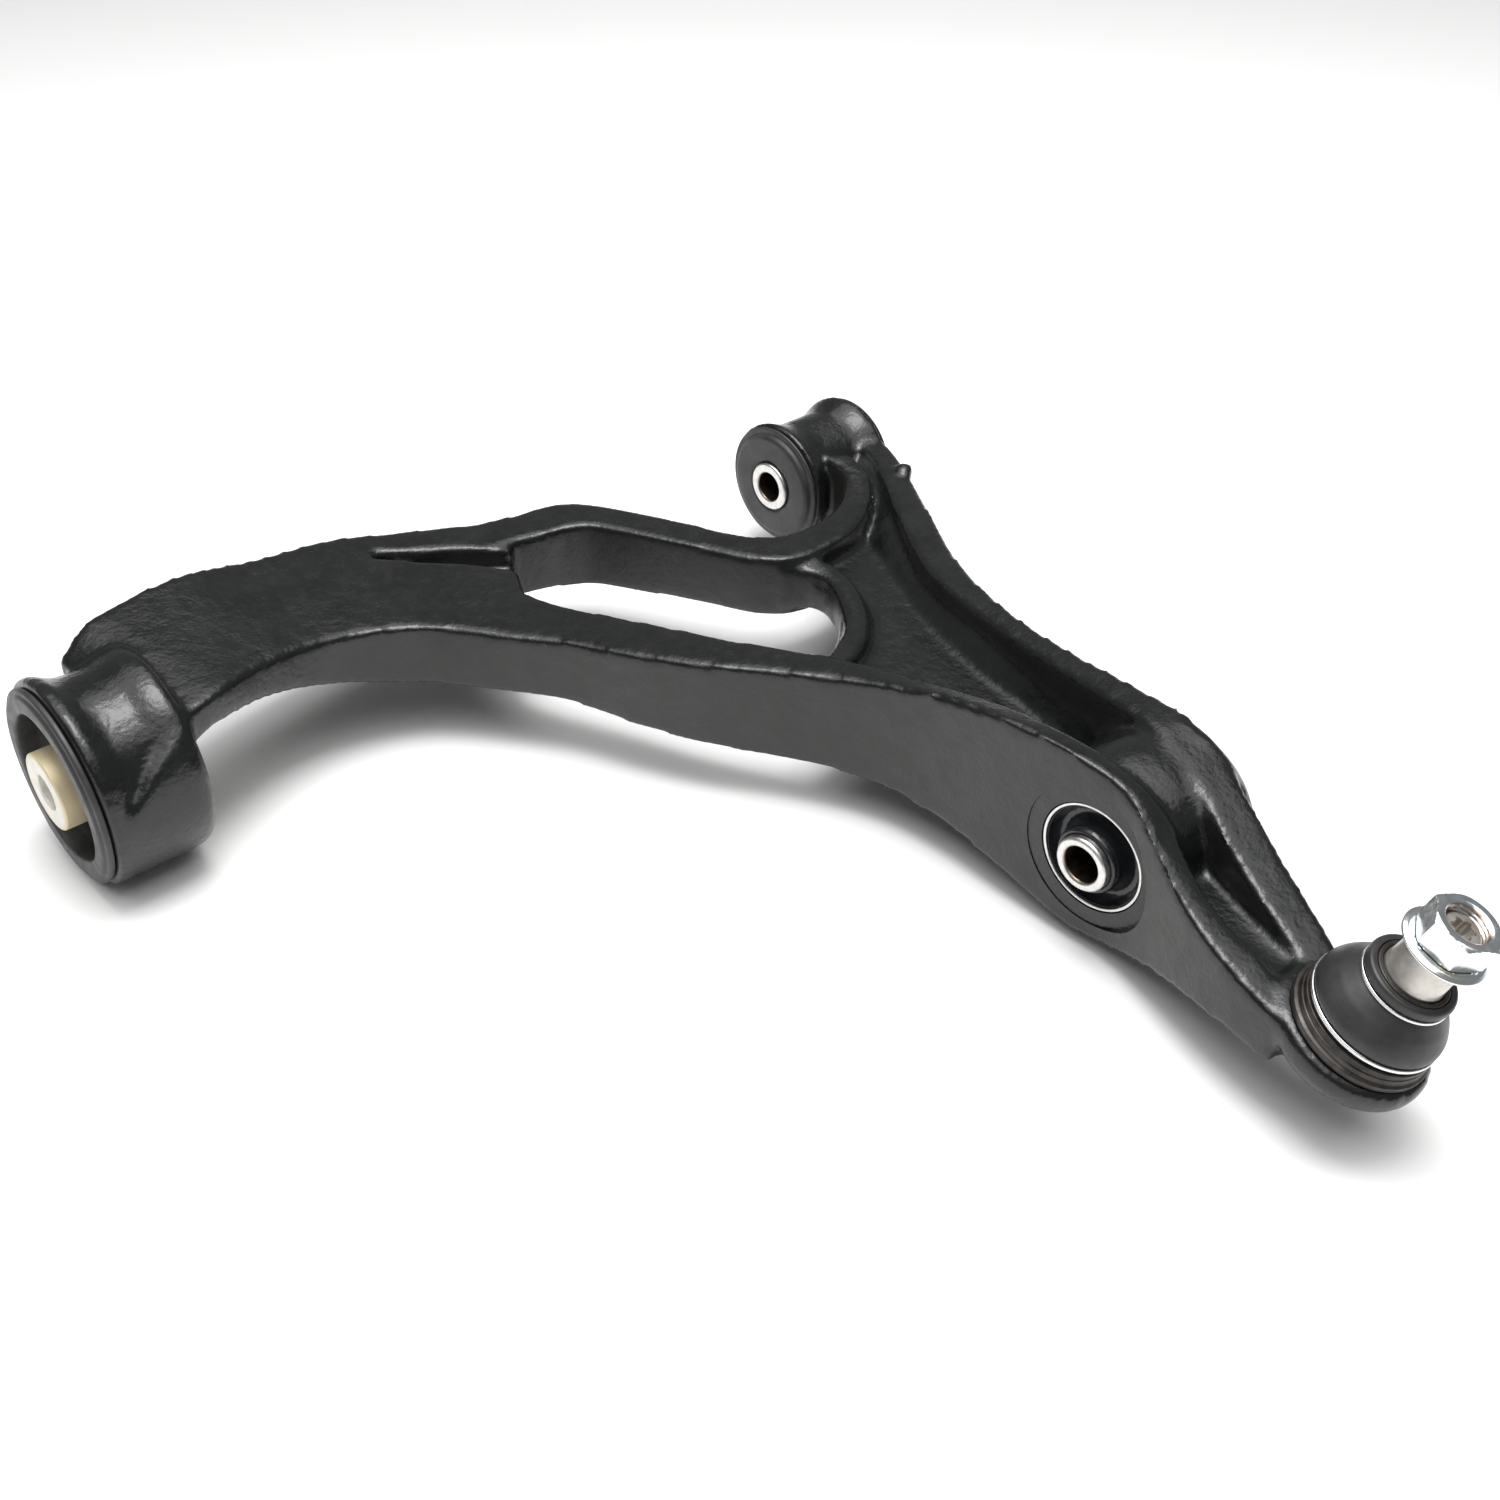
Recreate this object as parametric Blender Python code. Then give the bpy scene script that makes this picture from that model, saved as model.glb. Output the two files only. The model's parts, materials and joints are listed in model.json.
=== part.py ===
"""Front lower control arm of a car.

A cast arm carries a large fluid-filled bush and a small bush on the pivot
axis, a bush for the shock absorber's fork, and a pressed-in ball joint.

Drawing frame, in millimetres: +X along the pivot axis from the large bush to
the small bush, +Z up, the wheel end towards -Y, and the origin in the middle
of the large bush's bolting face. ARM_ORIGIN moves it to the object's origin,
which is the middle of the bottom of the whole arm's box.
"""
import bpy
import bmesh
import numpy as np
from math import asin, cos, pi, sin, tau
from mathutils import Vector

MM = 0.001
GAP = 0.3
ARM_ORIGIN = (215.65, -179.84, -42.6)

# Large bush, on the pivot axis.
HYDRO_BORE_R = 34.0
HYDRO_RING_R = 42.6
HYDRO_FACE = 7.0
HYDRO_END = 48.0
HYDRO_LIP_R = 40.0
HYDRO_MOUTH_R = 30.0
HYDRO_CORE_R = 15.9
HYDRO_CORE_LENGTH = 54.0

# Small bush, further along the pivot axis.
SMALL_START = 376.0
SMALL_END = 426.0
SMALL_BORE_R = 22.3
SMALL_FLANGE_R = 31.0
SMALL_WAIST_R = 26.3
SMALL_SLEEVE_R = 12.0
SMALL_SLEEVE_START = 370.7
SMALL_SLEEVE_END = 431.3

# Shock-absorber bush, its axis parallel to the pivot axis.
SHOCK_Y = -288.7
SHOCK_START = 256.8
SHOCK_END = 309.0
SHOCK_BORE_R = 22.0
SHOCK_BARREL_R = 36.0
SHOCK_SLEEVE_R = 10.9
SHOCK_SLEEVE_START = 251.0
SHOCK_SLEEVE_END = 315.0

# All three bush sleeves take an M14 bolt.
BOLT_HOLE_R = 7.15

# Ball joint: middle of the socket's rim, and the stud's lean from vertical.
SOCKET_RIM = (256.7, -396.3, -2.4)
STUD_AXIS = (0.0871, -0.3469, 0.9339)
SOCKET_R = 27.0
SOCKET_DEPTH = 22.5
HOUSING_R = 24.2
PRESS_R = 22.0
CONE_SUM = -29.4
BALL_R = 12.5
BALL_CENTRE = -5.0
CONE_R = 10.3
STUD_THREAD_R = 6.8
NUT_HEX_R = 12.12
NUT_START = 46.4
NUT_TOP = 57.0

ROUND = 28
SPAN_STEPS = 2


def material(name, colour, roughness, metallic=0.0):
    mat = bpy.data.materials.new(name)
    mat.use_nodes = True
    shader = mat.node_tree.nodes["Principled BSDF"]
    shader.inputs["Base Color"].default_value = (*colour, 1.0)
    shader.inputs["Roughness"].default_value = roughness
    shader.inputs["Metallic"].default_value = metallic
    return mat


def empty(name, parent, place, toward=(0.0, 0.0, 1.0)):
    """An axis holder: its local +Z points along toward."""
    holder = bpy.data.objects.new(name, None)
    holder.parent = parent
    holder.location = Vector(place) * MM
    holder.rotation_mode = "QUATERNION"
    holder.rotation_quaternion = Vector((0, 0, 1)).rotation_difference(Vector(toward))
    bpy.context.scene.collection.objects.link(holder)
    return holder


def finish(name, bm, parent, mat):
    """Turn a closed bmesh, drawn in millimetres, into a named object."""
    bmesh.ops.remove_doubles(bm, verts=bm.verts[:], dist=1e-4)
    bmesh.ops.recalc_face_normals(bm, faces=bm.faces[:])
    bmesh.ops.scale(bm, vec=(MM, MM, MM), verts=bm.verts[:])
    mesh = bpy.data.meshes.new(name)
    bm.to_mesh(mesh)
    bm.free()
    mesh.shade_smooth()
    mesh.set_sharp_from_angle(angle=pi / 6)
    obj = bpy.data.objects.new(name, mesh)
    obj.parent = parent
    obj.data.materials.append(mat)
    bpy.context.scene.collection.objects.link(obj)
    return obj


def turned(name, parent, mat, profile, steps=ROUND):
    """Revolve a closed (radius, height) outline round local Z."""
    bm = bmesh.new()
    verts = [bm.verts.new((r, 0.0, z)) for r, z in profile]
    for first, second in zip(verts, verts[1:] + verts[:1]):
        if first.co.x > 0.0 or second.co.x > 0.0:
            bm.edges.new((first, second))
    bmesh.ops.spin(
        bm, geom=bm.verts[:] + bm.edges[:], cent=(0, 0, 0), axis=(0, 0, 1),
        angle=tau, steps=steps, use_merge=True,
    )
    return finish(name, bm, parent, mat)


def tube(name, parent, mat, outer, inner, start, end, chamfer=0.8):
    """A plain sleeve with chamfered rims."""
    profile = [
        (inner, start + chamfer), (inner + chamfer, start),
        (outer - chamfer, start), (outer, start + chamfer),
        (outer, end - chamfer), (outer - chamfer, end),
        (inner + chamfer, end), (inner, end - chamfer),
    ]
    return turned(name, parent, mat, profile)


def smooth_path(points, steps=SPAN_STEPS):
    """Catmull-Rom curve through control points of any width."""
    pts = np.array(points, float)
    ends = np.vstack([2 * pts[0] - pts[1], pts, 2 * pts[-1] - pts[-2]])
    out = []
    for a, b, c, d in zip(ends, ends[1:], ends[2:], ends[3:]):
        for t in np.arange(steps) / steps:
            out.append(0.5 * (
                2 * b + (c - a) * t + (2 * a - 5 * b + 4 * c - d) * t ** 2
                + (3 * b - a - 3 * c + d) * t ** 3
            ))
    return np.array(out + [pts[-1]])


def ribbon(name, parent, mat, stations):
    """A bar lofted through stations of two edges, each (x, y, top, bottom)."""
    path = smooth_path([first + second for first, second in stations])
    bm = bmesh.new()
    rings = []
    for x0, y0, top0, low0, x1, y1, top1, low1 in path:
        corners = [(x0, y0, low0), (x1, y1, low1), (x1, y1, top1), (x0, y0, top0)]
        rings.append([bm.verts.new(corner) for corner in corners])
    for near, far in zip(rings, rings[1:]):
        for i in range(4):
            bm.faces.new((near[i], near[i - 3], far[i - 3], far[i]))
    bm.faces.new(rings[0])
    bm.faces.new(rings[-1])
    bmesh.ops.triangulate(bm, faces=[f for f in bm.faces if len(f.verts) == 4])
    return finish(name, bm, parent, mat)


def slab(name, parent, mat, outline, low, top):
    """A plate with a smooth closed outline in plan."""
    loop = smooth_path(outline[-1:] + outline + outline[:1])
    loop = loop[SPAN_STEPS:-SPAN_STEPS - 1]
    bm = bmesh.new()
    face = bm.faces.new([bm.verts.new((x, y, low)) for x, y in loop])
    grown = bmesh.ops.extrude_face_region(bm, geom=[face])
    moved = [item for item in grown["geom"] if isinstance(item, bmesh.types.BMVert)]
    bmesh.ops.translate(bm, vec=(0, 0, top - low), verts=moved)
    return finish(name, bm, parent, mat)


def hide(objects, collection_name):
    """Put construction shapes in a collection that a Boolean reads."""
    group = bpy.data.collections.new(collection_name)
    bpy.context.scene.collection.children.link(group)
    for obj in objects:
        bpy.context.scene.collection.objects.unlink(obj)
        group.objects.link(obj)
        obj.hide_render = True
        obj.display_type = "WIRE"
    return group


def boolean(obj, group, operation):
    mod = obj.modifiers.new(group.name, "BOOLEAN")
    mod.operation = operation
    mod.operand_type = "COLLECTION"
    mod.collection = group
    mod.solver = "EXACT"


# ---------------------------------------------------------------- cast arm

def level(x, y, height):
    """One edge point of a bar that is symmetric about the pivot plane."""
    return (x, y, height, -height)


def main_leg(parent, mat):
    """Solid hump that joins the large bush's housing to both bars."""
    return ribbon("leg", parent, mat, [
        ((36, -30, 24, 12), (28, 36, 30, 10)),
        ((48, -29, 27, 14), (42, 40, 39, 8)),
        ((64, -24, 28, 15), (60, 45, 40, 8)),
        ((90, -12, 24, 8), (90, 54, 37, 3)),
        ((120, -6, 19, -3), (124, 61, 28, -5)),
        ((149, -13, 16, -12), (164, 66, 21, -11)),
        ((164, -25, 15, -14), (195, 57, 17, -15)),
        ((176, -41, 14.5, -14.5), (222, 44, 16, -15)),
        ((188, -58, 14, -14), (234, 30, 12, -15)),
    ])


def near_bar(parent, mat):
    """Edge of the arm that faces the wheel, from the leg to the ball joint."""
    return ribbon("near_bar", parent, mat, [
        (level(164, -24, 13.5), level(206, -10, 13.5)),
        (level(171, -33, 14), level(210, -34, 14)),
        (level(193, -66, 15), level(219, -57, 15)),
        (level(205, -95, 17.5), level(228, -81, 17)),
        (level(219, -123, 19.6), level(236, -104, 19)),
        (level(235, -147, 21), level(246, -126, 20)),
        ((250, -175, 23.5, -22), (261, -158, 22, -21)),
        ((256, -197, 28, -23), (268, -188, 26, -22)),
        ((257.5, -221, 33, -25), (270, -214, 30, -24)),
        ((256.8, -250, 36, -29), (272, -246, 33, -29)),
        ((256.8, -279, 37, -36), (273, -277, 37, -36)),
        ((256, -300, 34, -34), (273, -300, 34, -34)),
        ((250, -318, 24, -26), (268, -318, 24, -26)),
        ((243, -337, 14, -20), (257, -341, 14, -20)),
        ((237, -358, 8, -17), (250, -362, 8, -17)),
        ((234, -380, 2, -18), (247, -380, 2, -18)),
    ])


def back_bar(parent, mat):
    """Edge of the arm on the body side, from the leg to the small bush."""
    return ribbon("back_bar", parent, mat, [
        (level(195, 57, 16.5), level(184, 38, 15)),
        (level(222, 44, 15.5), level(211, 24, 15)),
        (level(248, 38, 15), level(243, 14, 15)),
        (level(267, 32, 16), level(255, 10, 16)),
        (level(281, 15, 16), level(266, 0, 16)),
        (level(302, -29, 15), level(287, -43, 15)),
        (level(313, -52, 15), level(300, -70, 15)),
        (level(325, -61, 15), level(317, -81, 15)),
        (level(348, -61, 15), level(346, -80, 15)),
        (level(371, -51, 15), level(373, -67, 15)),
        (level(385, -38, 17), level(394, -46, 17)),
        (level(389, -20, 19), level(400, -26, 19)),
    ])


def far_bar(parent, mat):
    """Outer edge of the arm, from the small bush to the ball joint."""
    return ribbon("far_bar", parent, mat, [
        (level(422, -12, 16), level(412, -12, 16)),
        (level(424, -28, 17), level(411, -27, 17)),
        (level(411, -54, 17), level(397, -52, 17)),
        (level(391, -85, 18), level(376, -80, 18)),
        (level(357, -137, 20), level(342, -132, 19.5)),
        (level(336, -183, 24), level(325, -181, 22)),
        (level(325, -222, 28), level(314, -220, 26)),
        (level(317, -256, 33), level(304, -254, 31)),
        (level(310, -288, 36), level(295, -284, 35)),
        (level(304, -308, 31), level(288, -304, 31)),
        ((297, -325, 24, -26), (280, -320, 24, -26)),
        ((289, -345, 15, -20), (272, -340, 15, -20)),
        ((279, -367, 8, -17), (264, -362, 8, -17)),
        ((271, -384, 2, -18), (259, -380, 2, -18)),
    ])


def far_slope(parent, mat):
    """Drafted inner wall of the outer bar, down to the web."""
    return ribbon("far_slope", parent, mat, [
        (level(414, -24, 14), level(396, -24, 4)),
        (level(401, -54, 15), level(383, -50, 4)),
        (level(380, -82, 16), level(363, -79, 4)),
        (level(346, -134, 17), level(333, -138, 4)),
        (level(329, -183, 19), level(317, -184, 4)),
        (level(318, -222, 22), level(309, -222, 4)),
        (level(308, -254, 25), level(300, -250, 4)),
    ])


def web(parent, mat):
    """Plate that closes the space between the bars."""
    return slab("web", parent, mat, [
        (318, -76), (346, -75), (370, -62), (392, -36), (408, -30),
        (392, -66), (364, -110), (330, -164), (312, -214), (302, -260),
        (296, -300), (286, -330), (268, -370), (244, -370), (250, -340),
        (264, -305), (264, -250), (264, -200), (256, -165), (243, -130),
        (262, -134), (290, -128), (312, -104),
    ], -7, 3)


def slot_rim(parent, mat):
    """Raised edge round the wheel-side end of the slot."""
    return ribbon("slot_rim", parent, mat, [
        (level(312, -70, 11), level(305, -78, 10)),
        (level(325, -82, 11), level(314, -86, 10)),
        (level(326, -98, 10), level(316, -96, 10)),
        (level(317, -118, 10), level(309, -110, 10)),
        (level(302, -136, 10), level(295, -128, 10)),
        (level(284, -148, 11), level(278, -139, 11)),
        (level(262, -154, 13), level(258, -146, 13)),
    ])


def hydro_housing(along, mat):
    """Round boss that holds the large bush, with a waist behind its rim."""
    rim, end = HYDRO_FACE, HYDRO_END
    return turned("hydro_housing", along, mat, [
        (30.0, rim), (HYDRO_RING_R - 1.0, rim), (HYDRO_RING_R, rim + 1.0),
        (HYDRO_RING_R, rim + 5.0), (40.0, rim + 8.5), (38.3, rim + 13.0),
        (38.3, rim + 25.0), (40.5, rim + 31.0), (41.5, rim + 36.0),
        (41.5, end - 2.5), (39.0, end), (30.0, end),
    ])


def shoulder(parent, mat):
    """Lower part of the housing at full radius: its top edge climbs to the leg."""
    stations = [
        (HYDRO_FACE + 0.5, 42.4, -11), (11, 42.4, -4), (18, 42.4, 7),
        (25, 42.4, 14), (33, 42.4, 20), (42, 42.1, 25), (45, 41.2, 26),
        (HYDRO_END - 0.6, 38.6, 26),
    ]
    bm = bmesh.new()
    rings = []
    for x, radius, edge in stations:
        rise = asin(edge / radius)
        angles = np.linspace(pi - rise, tau + rise, 25)
        rings.append([bm.verts.new((x, radius * cos(a), radius * sin(a))) for a in angles])
    for near, far in zip(rings, rings[1:]):
        for i in range(len(near)):
            bm.faces.new((near[i], near[i - 1], far[i - 1], far[i]))
    bm.faces.new(rings[0])
    bm.faces.new(rings[-1])
    return finish("shoulder", bm, parent, mat)


def small_housing(along, mat):
    """Bobbin-shaped boss that holds the small bush."""
    start, end, rim, waist = SMALL_START, SMALL_END, SMALL_FLANGE_R, SMALL_WAIST_R
    return turned("small_housing", along, mat, [
        (18.0, start), (rim - 1.2, start), (rim, start + 1.5),
        (rim - 1.5, start + 4.5), (waist + 1.5, start + 9.0),
        (waist, start + 14.0), (waist, end - 14.0),
        (waist + 1.5, end - 9.5), (rim - 1.0, end - 5.0),
        (rim, end - 1.5), (rim - 1.2, end), (18.0, end),
    ])


def shock_barrel(along, mat):
    """Barrel between the bars, with a raised machined face at its near end."""
    radius = SHOCK_BARREL_R
    return turned("shock_barrel", along, mat, [
        (16.0, SHOCK_START), (28.5, SHOCK_START), (29.5, SHOCK_START + 0.8),
        (radius - 3.0, SHOCK_START + 1.4), (radius, SHOCK_START + 5.0),
        (radius, SHOCK_END - 4.0), (radius - 3.0, SHOCK_END), (16.0, SHOCK_END),
    ])


def ball_socket(along, mat):
    """Cup at the arm's tip that the ball joint is pressed into."""
    return turned("ball_socket", along, mat, [
        (0.0, -0.8), (SOCKET_R - 1.5, -0.8), (SOCKET_R, -2.4),
        (SOCKET_R, -8.0), (SOCKET_R - 2.0, -11.2), (SOCKET_R - 6.0, -15.0),
        (SOCKET_R - 10.5, -19.0), (12.5, -SOCKET_DEPTH), (0.0, -SOCKET_DEPTH),
    ])


def casting_pip(parent, mat):
    """Stub left by the mould's feeder on the far bar."""
    holder = empty("pip_axis", parent, (407.0, -57.0, 14.0))
    return turned("pip", holder, mat, [
        (0.0, 7.0), (3.2, 7.0), (4.2, 5.8), (4.6, 0.0), (0.0, 0.0),
    ], 16)


def slot_cutter(parent, mat):
    """The open window between the two bars."""
    return slab("slot_cutter", parent, mat, [
        (232, 2), (246, 8), (256, 5), (266, -6), (287, -47), (301, -73),
        (311, -83), (314, -96), (306, -112), (291, -127), (274, -139),
        (262, -144), (252, -136), (240, -108), (230, -82), (221, -56),
        (215, -34), (220, -12),
    ], -60, 60)


def pocket_cutters(parent, mat):
    """Pointed pockets at the leg end of the window, top and bottom."""
    spans = ((4.0, 60.0, "top_pocket"), (-60.0, -6.0, "bottom_pocket"))
    return [
        ribbon(name, parent, mat, [
            ((171, 45, top, low), (175, 47, top, low)),
            ((193, 24, top, low), (200, 32, top, low)),
            ((214, 2, top, low), (224, 15, top, low)),
            ((228, -10, top, low), (246, 12, top, low)),
        ])
        for low, top, name in spans
    ]


def dimple_cutter(parent, mat):
    """Oval core print left in the top of the hump."""
    holder = empty("dimple_axis", parent, (118.0, 46.0, 33.0), (0.1, -0.5, 1.0))
    dimple = turned("dimple", holder, mat, [
        (0.0, 9.0), (8.5, 9.0), (7.0, 2.0), (4.0, -5.0), (0.0, -7.0),
    ], 24)
    return dimple


def arm_body(root, axes, mat):
    """One casting: bars, web and bosses joined, then bored and opened."""
    pivot, shock, stud = axes
    arm = main_leg(root, mat)
    arm.name = "arm_body"
    solids = [
        near_bar(root, mat), back_bar(root, mat), far_bar(root, mat),
        far_slope(root, mat), web(root, mat), slot_rim(root, mat),
        hydro_housing(pivot, mat), shoulder(root, mat), small_housing(pivot, mat),
        shock_barrel(shock, mat), ball_socket(stud, mat), casting_pip(root, mat),
    ]
    cutters = [
        slot_cutter(root, mat), *pocket_cutters(root, mat),
        dimple_cutter(root, mat),
        turned("hydro_bore", pivot, mat, [
            (0, -20), (HYDRO_BORE_R, -20), (HYDRO_BORE_R, HYDRO_END - 1),
            (20, HYDRO_END - 1), (20, HYDRO_CORE_LENGTH + 6), (0, HYDRO_CORE_LENGTH + 6),
        ]),
        turned("small_bore", pivot, mat, [
            (0, 340), (SMALL_BORE_R, 340), (SMALL_BORE_R, 470), (0, 470),
        ]),
        turned("shock_bore", shock, mat, [
            (0, 200), (SHOCK_BORE_R, 200), (SHOCK_BORE_R, 340), (0, 340),
        ]),
        turned("socket_bore", stud, mat, [
            (0, 30), (HOUSING_R + 0.7, 30), (HOUSING_R + 0.7, -0.8),
            (PRESS_R, -0.8), (PRESS_R, CONE_SUM + PRESS_R),
            (11.0, CONE_SUM + 11.0), (9.5, -19.0), (9.5, -40), (0, -40),
        ]),
    ]
    boolean(arm, hide(solids, "arm_solids"), "UNION")
    boolean(arm, hide(cutters, "arm_cutters"), "DIFFERENCE")
    return arm


# ---------------------------------------------------------------- bushes

def hydro_bush(pivot, mats):
    """Large bush: steel shell, moulded rubber with a deep mouth, light core."""
    shell_r = HYDRO_BORE_R - GAP
    inner_r = shell_r - 1.8
    end = HYDRO_END - 2.0
    tube("hydro_shell", pivot, mats["steel"], shell_r, inner_r, HYDRO_FACE + GAP, end)
    rubber_r = inner_r - GAP
    hub_r = HYDRO_CORE_R + GAP
    turned("hydro_rubber", pivot, mats["rubber"], [
        (HYDRO_MOUTH_R, 4.6), (HYDRO_MOUTH_R + 1.6, 3.0),
        (HYDRO_LIP_R - 2.5, 3.0), (HYDRO_LIP_R - 1.2, 4.0),
        (HYDRO_LIP_R, 5.2), (HYDRO_LIP_R, HYDRO_FACE - GAP),
        (rubber_r, HYDRO_FACE - GAP), (rubber_r, end - 0.4),
        (rubber_r - 3.5, end - 0.4), (rubber_r - 4.0, end - 8.0),
        (hub_r + 4.0, end - 9.0), (hub_r + 2.5, end - 0.4),
        (hub_r, end - 0.4), (hub_r, 11.0), (hub_r + 3.0, 12.0),
        (HYDRO_MOUTH_R - 5.0, 17.0), (HYDRO_MOUTH_R - 1.5, 14.0),
    ])
    tube("hydro_core", pivot, mats["light_core"], HYDRO_CORE_R, BOLT_HOLE_R,
         0.0, HYDRO_CORE_LENGTH, 1.0)


def small_bush(pivot, mats):
    """Small bush: steel shell, rubber with a flat face at each end, steel sleeve."""
    shell_r = SMALL_BORE_R - GAP
    inner_r = shell_r - 1.6
    rubber_r = inner_r - GAP
    hub_r = SMALL_SLEEVE_R + GAP
    start, end = SMALL_START, SMALL_END
    tube("small_shell", pivot, mats["steel"], shell_r, inner_r, start + GAP, end - GAP, 0.5)
    turned("small_rubber", pivot, mats["rubber"], [
        (hub_r, start - 4.0), (25.0, start - 4.0), (26.0, start - 3.0),
        (26.2, start - 2.0), (29.0, start - 1.8), (29.2, start - GAP),
        (rubber_r, start - GAP), (rubber_r, end + GAP), (29.2, end + GAP),
        (29.0, end + 1.8), (26.2, end + 2.0), (26.0, end + 3.0),
        (25.0, end + 4.0), (hub_r, end + 4.0),
    ])
    tube("small_sleeve", pivot, mats["bright_steel"], SMALL_SLEEVE_R, BOLT_HOLE_R,
         SMALL_SLEEVE_START, SMALL_SLEEVE_END)


def shock_bush(shock, mats):
    """Shock-absorber bush: thin shell, glossy rubber with hollow ends, sleeve."""
    shell_r = SHOCK_BORE_R - GAP
    inner_r = shell_r - 1.3
    rubber_r = inner_r - GAP
    hub_r = SHOCK_SLEEVE_R + GAP
    start, end = SHOCK_START, SHOCK_END
    tube("shock_shell", shock, mats["steel"], shell_r, inner_r, start + 0.6, end - 0.6, 0.3)
    turned("shock_rubber", shock, mats["gloss_rubber"], [
        (hub_r, start - 2.6), (hub_r + 1.6, start - 2.0), (hub_r + 2.4, start + 4.0),
        (hub_r + 4.4, start + 7.0), (rubber_r - 1.6, start + 5.0),
        (rubber_r, start + 1.4), (rubber_r, end - 1.4),
        (rubber_r - 1.6, end - 5.0), (hub_r + 4.4, end - 7.0),
        (hub_r + 2.4, end - 4.0), (hub_r + 1.6, end + 2.0), (hub_r, end + 2.6),
    ])
    tube("shock_sleeve", shock, mats["bright_steel"], SHOCK_SLEEVE_R, BOLT_HOLE_R,
         SHOCK_SLEEVE_START, SHOCK_SLEEVE_END)


# ---------------------------------------------------------------- ball joint

def arc(radius, start, end, steps, height):
    """Points (radius, height) of a circle round (0, height), by latitude."""
    return [(radius * cos(a), height + radius * sin(a))
            for a in np.linspace(start, end, steps)]


def joint_housing(stud, mats):
    """Turned steel housing that presses into the arm and holds the ball seat."""
    press_r = PRESS_R - GAP
    cone = CONE_SUM + 1.5 * GAP
    seat_r = BALL_R + 2.0 + GAP
    turned("joint_housing", stud, mats["dark_steel"], [
        *arc(seat_r, 0.0, -0.85, 6, BALL_CENTRE), (9.2, -17.8), (10.4, -18.4),
        (12.0, cone + 12.0), (press_r, cone + press_r), (press_r, -0.8 + GAP),
        (HOUSING_R, -0.8 + GAP), (HOUSING_R, 1.8), (HOUSING_R - 1.4, 2.6),
        (HOUSING_R - 1.6, 6.2), (HOUSING_R - 2.2, 6.8),
        (21.4, 6.8), (21.4, 5.0), (17.4, 5.0), (17.4, 3.0), (seat_r, 2.0),
    ])


def ball_seat(stud, mats):
    """Plastic shell round the ball, open at the stud."""
    outside = BALL_R + 2.0
    liner = BALL_R + GAP
    turned("ball_seat", stud, mats["plastic"], [
        *arc(outside, -0.95, 0.0, 6, BALL_CENTRE), (outside, 1.4), (12.0, 1.4),
        *arc(liner, 0.45, -0.95, 6, BALL_CENTRE),
    ])


def closing_cap(stud, mats):
    """Steel disc rolled in under the ball."""
    turned("closing_cap", stud, mats["dark_steel"], [
        (0.0, -17.9), (8.4, -17.9), (8.8, -18.3), (8.8, -19.0), (8.3, -19.5), (0.0, -19.5),
    ])


def ball_stud(stud, mats):
    """Ball, waist, seating cone and threaded end, with a hex socket in its tip."""
    tip = NUT_TOP - 3.2
    pin = turned("ball_stud", stud, mats["ground_steel"], [
        *arc(BALL_R, -pi / 2, 0.98, 9, BALL_CENTRE)[1:], (6.9, 7.5), (7.4, 11.0),
        (9.6, 20.0), (CONE_R, 24.0), (CONE_R, 30.0), (9.1, 41.6), (8.5, 42.4),
        (STUD_THREAD_R, 43.0), (STUD_THREAD_R, tip - 1.0), (STUD_THREAD_R - 1.0, tip),
        (0.0, tip), (0.0, BALL_CENTRE - BALL_R),
    ])
    socket = turned("stud_socket", stud, mats["ground_steel"], [
        (0.0, tip + 2.0), (4.0, tip + 2.0), (4.0, tip - 5.0), (0.0, tip - 5.0),
    ], 6)
    boolean(pin, hide([socket], "stud_cutters"), "DIFFERENCE")


def dust_boot(stud, mats):
    """Rubber gaiter from the housing's neck up to the seating cone."""
    turned("dust_boot", stud, mats["rubber"], [
        (21.6, 7.1), (22.0, 7.6), (22.0, 10.4), (22.2, 11.6), (21.8, 13.8),
        (20.4, 16.6), (18.2, 19.4), (15.8, 22.2), (14.4, 23.8), (14.4, 25.2),
        (15.2, 26.0), (15.4, 27.8), (14.4, 29.4), (12.6, 29.4),
        (12.6, 24.0), (14.0, 21.6), (16.4, 18.6), (18.4, 15.8),
        (19.6, 13.4), (19.8, 11.6), (19.4, 10.4), (19.4, 7.1),
    ])


def boot_fittings(stud, mats):
    """Two spring-wire clamps and the steel collar inside the boot's neck."""
    turned("boot_lower_clamp", stud, mats["bright_steel"], [
        (22.3, 8.0), (23.3, 8.0), (23.3, 9.6), (22.3, 9.6),
    ])
    turned("boot_upper_clamp", stud, mats["bright_steel"], [
        (14.7, 24.1), (15.6, 24.1), (15.6, 25.0), (14.7, 25.0),
    ])
    turned("boot_neck_collar", stud, mats["dark_steel"], [
        (CONE_R + GAP, 24.4), (12.3, 24.4), (12.3, 29.8), (CONE_R + GAP, 29.8),
    ])


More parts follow.
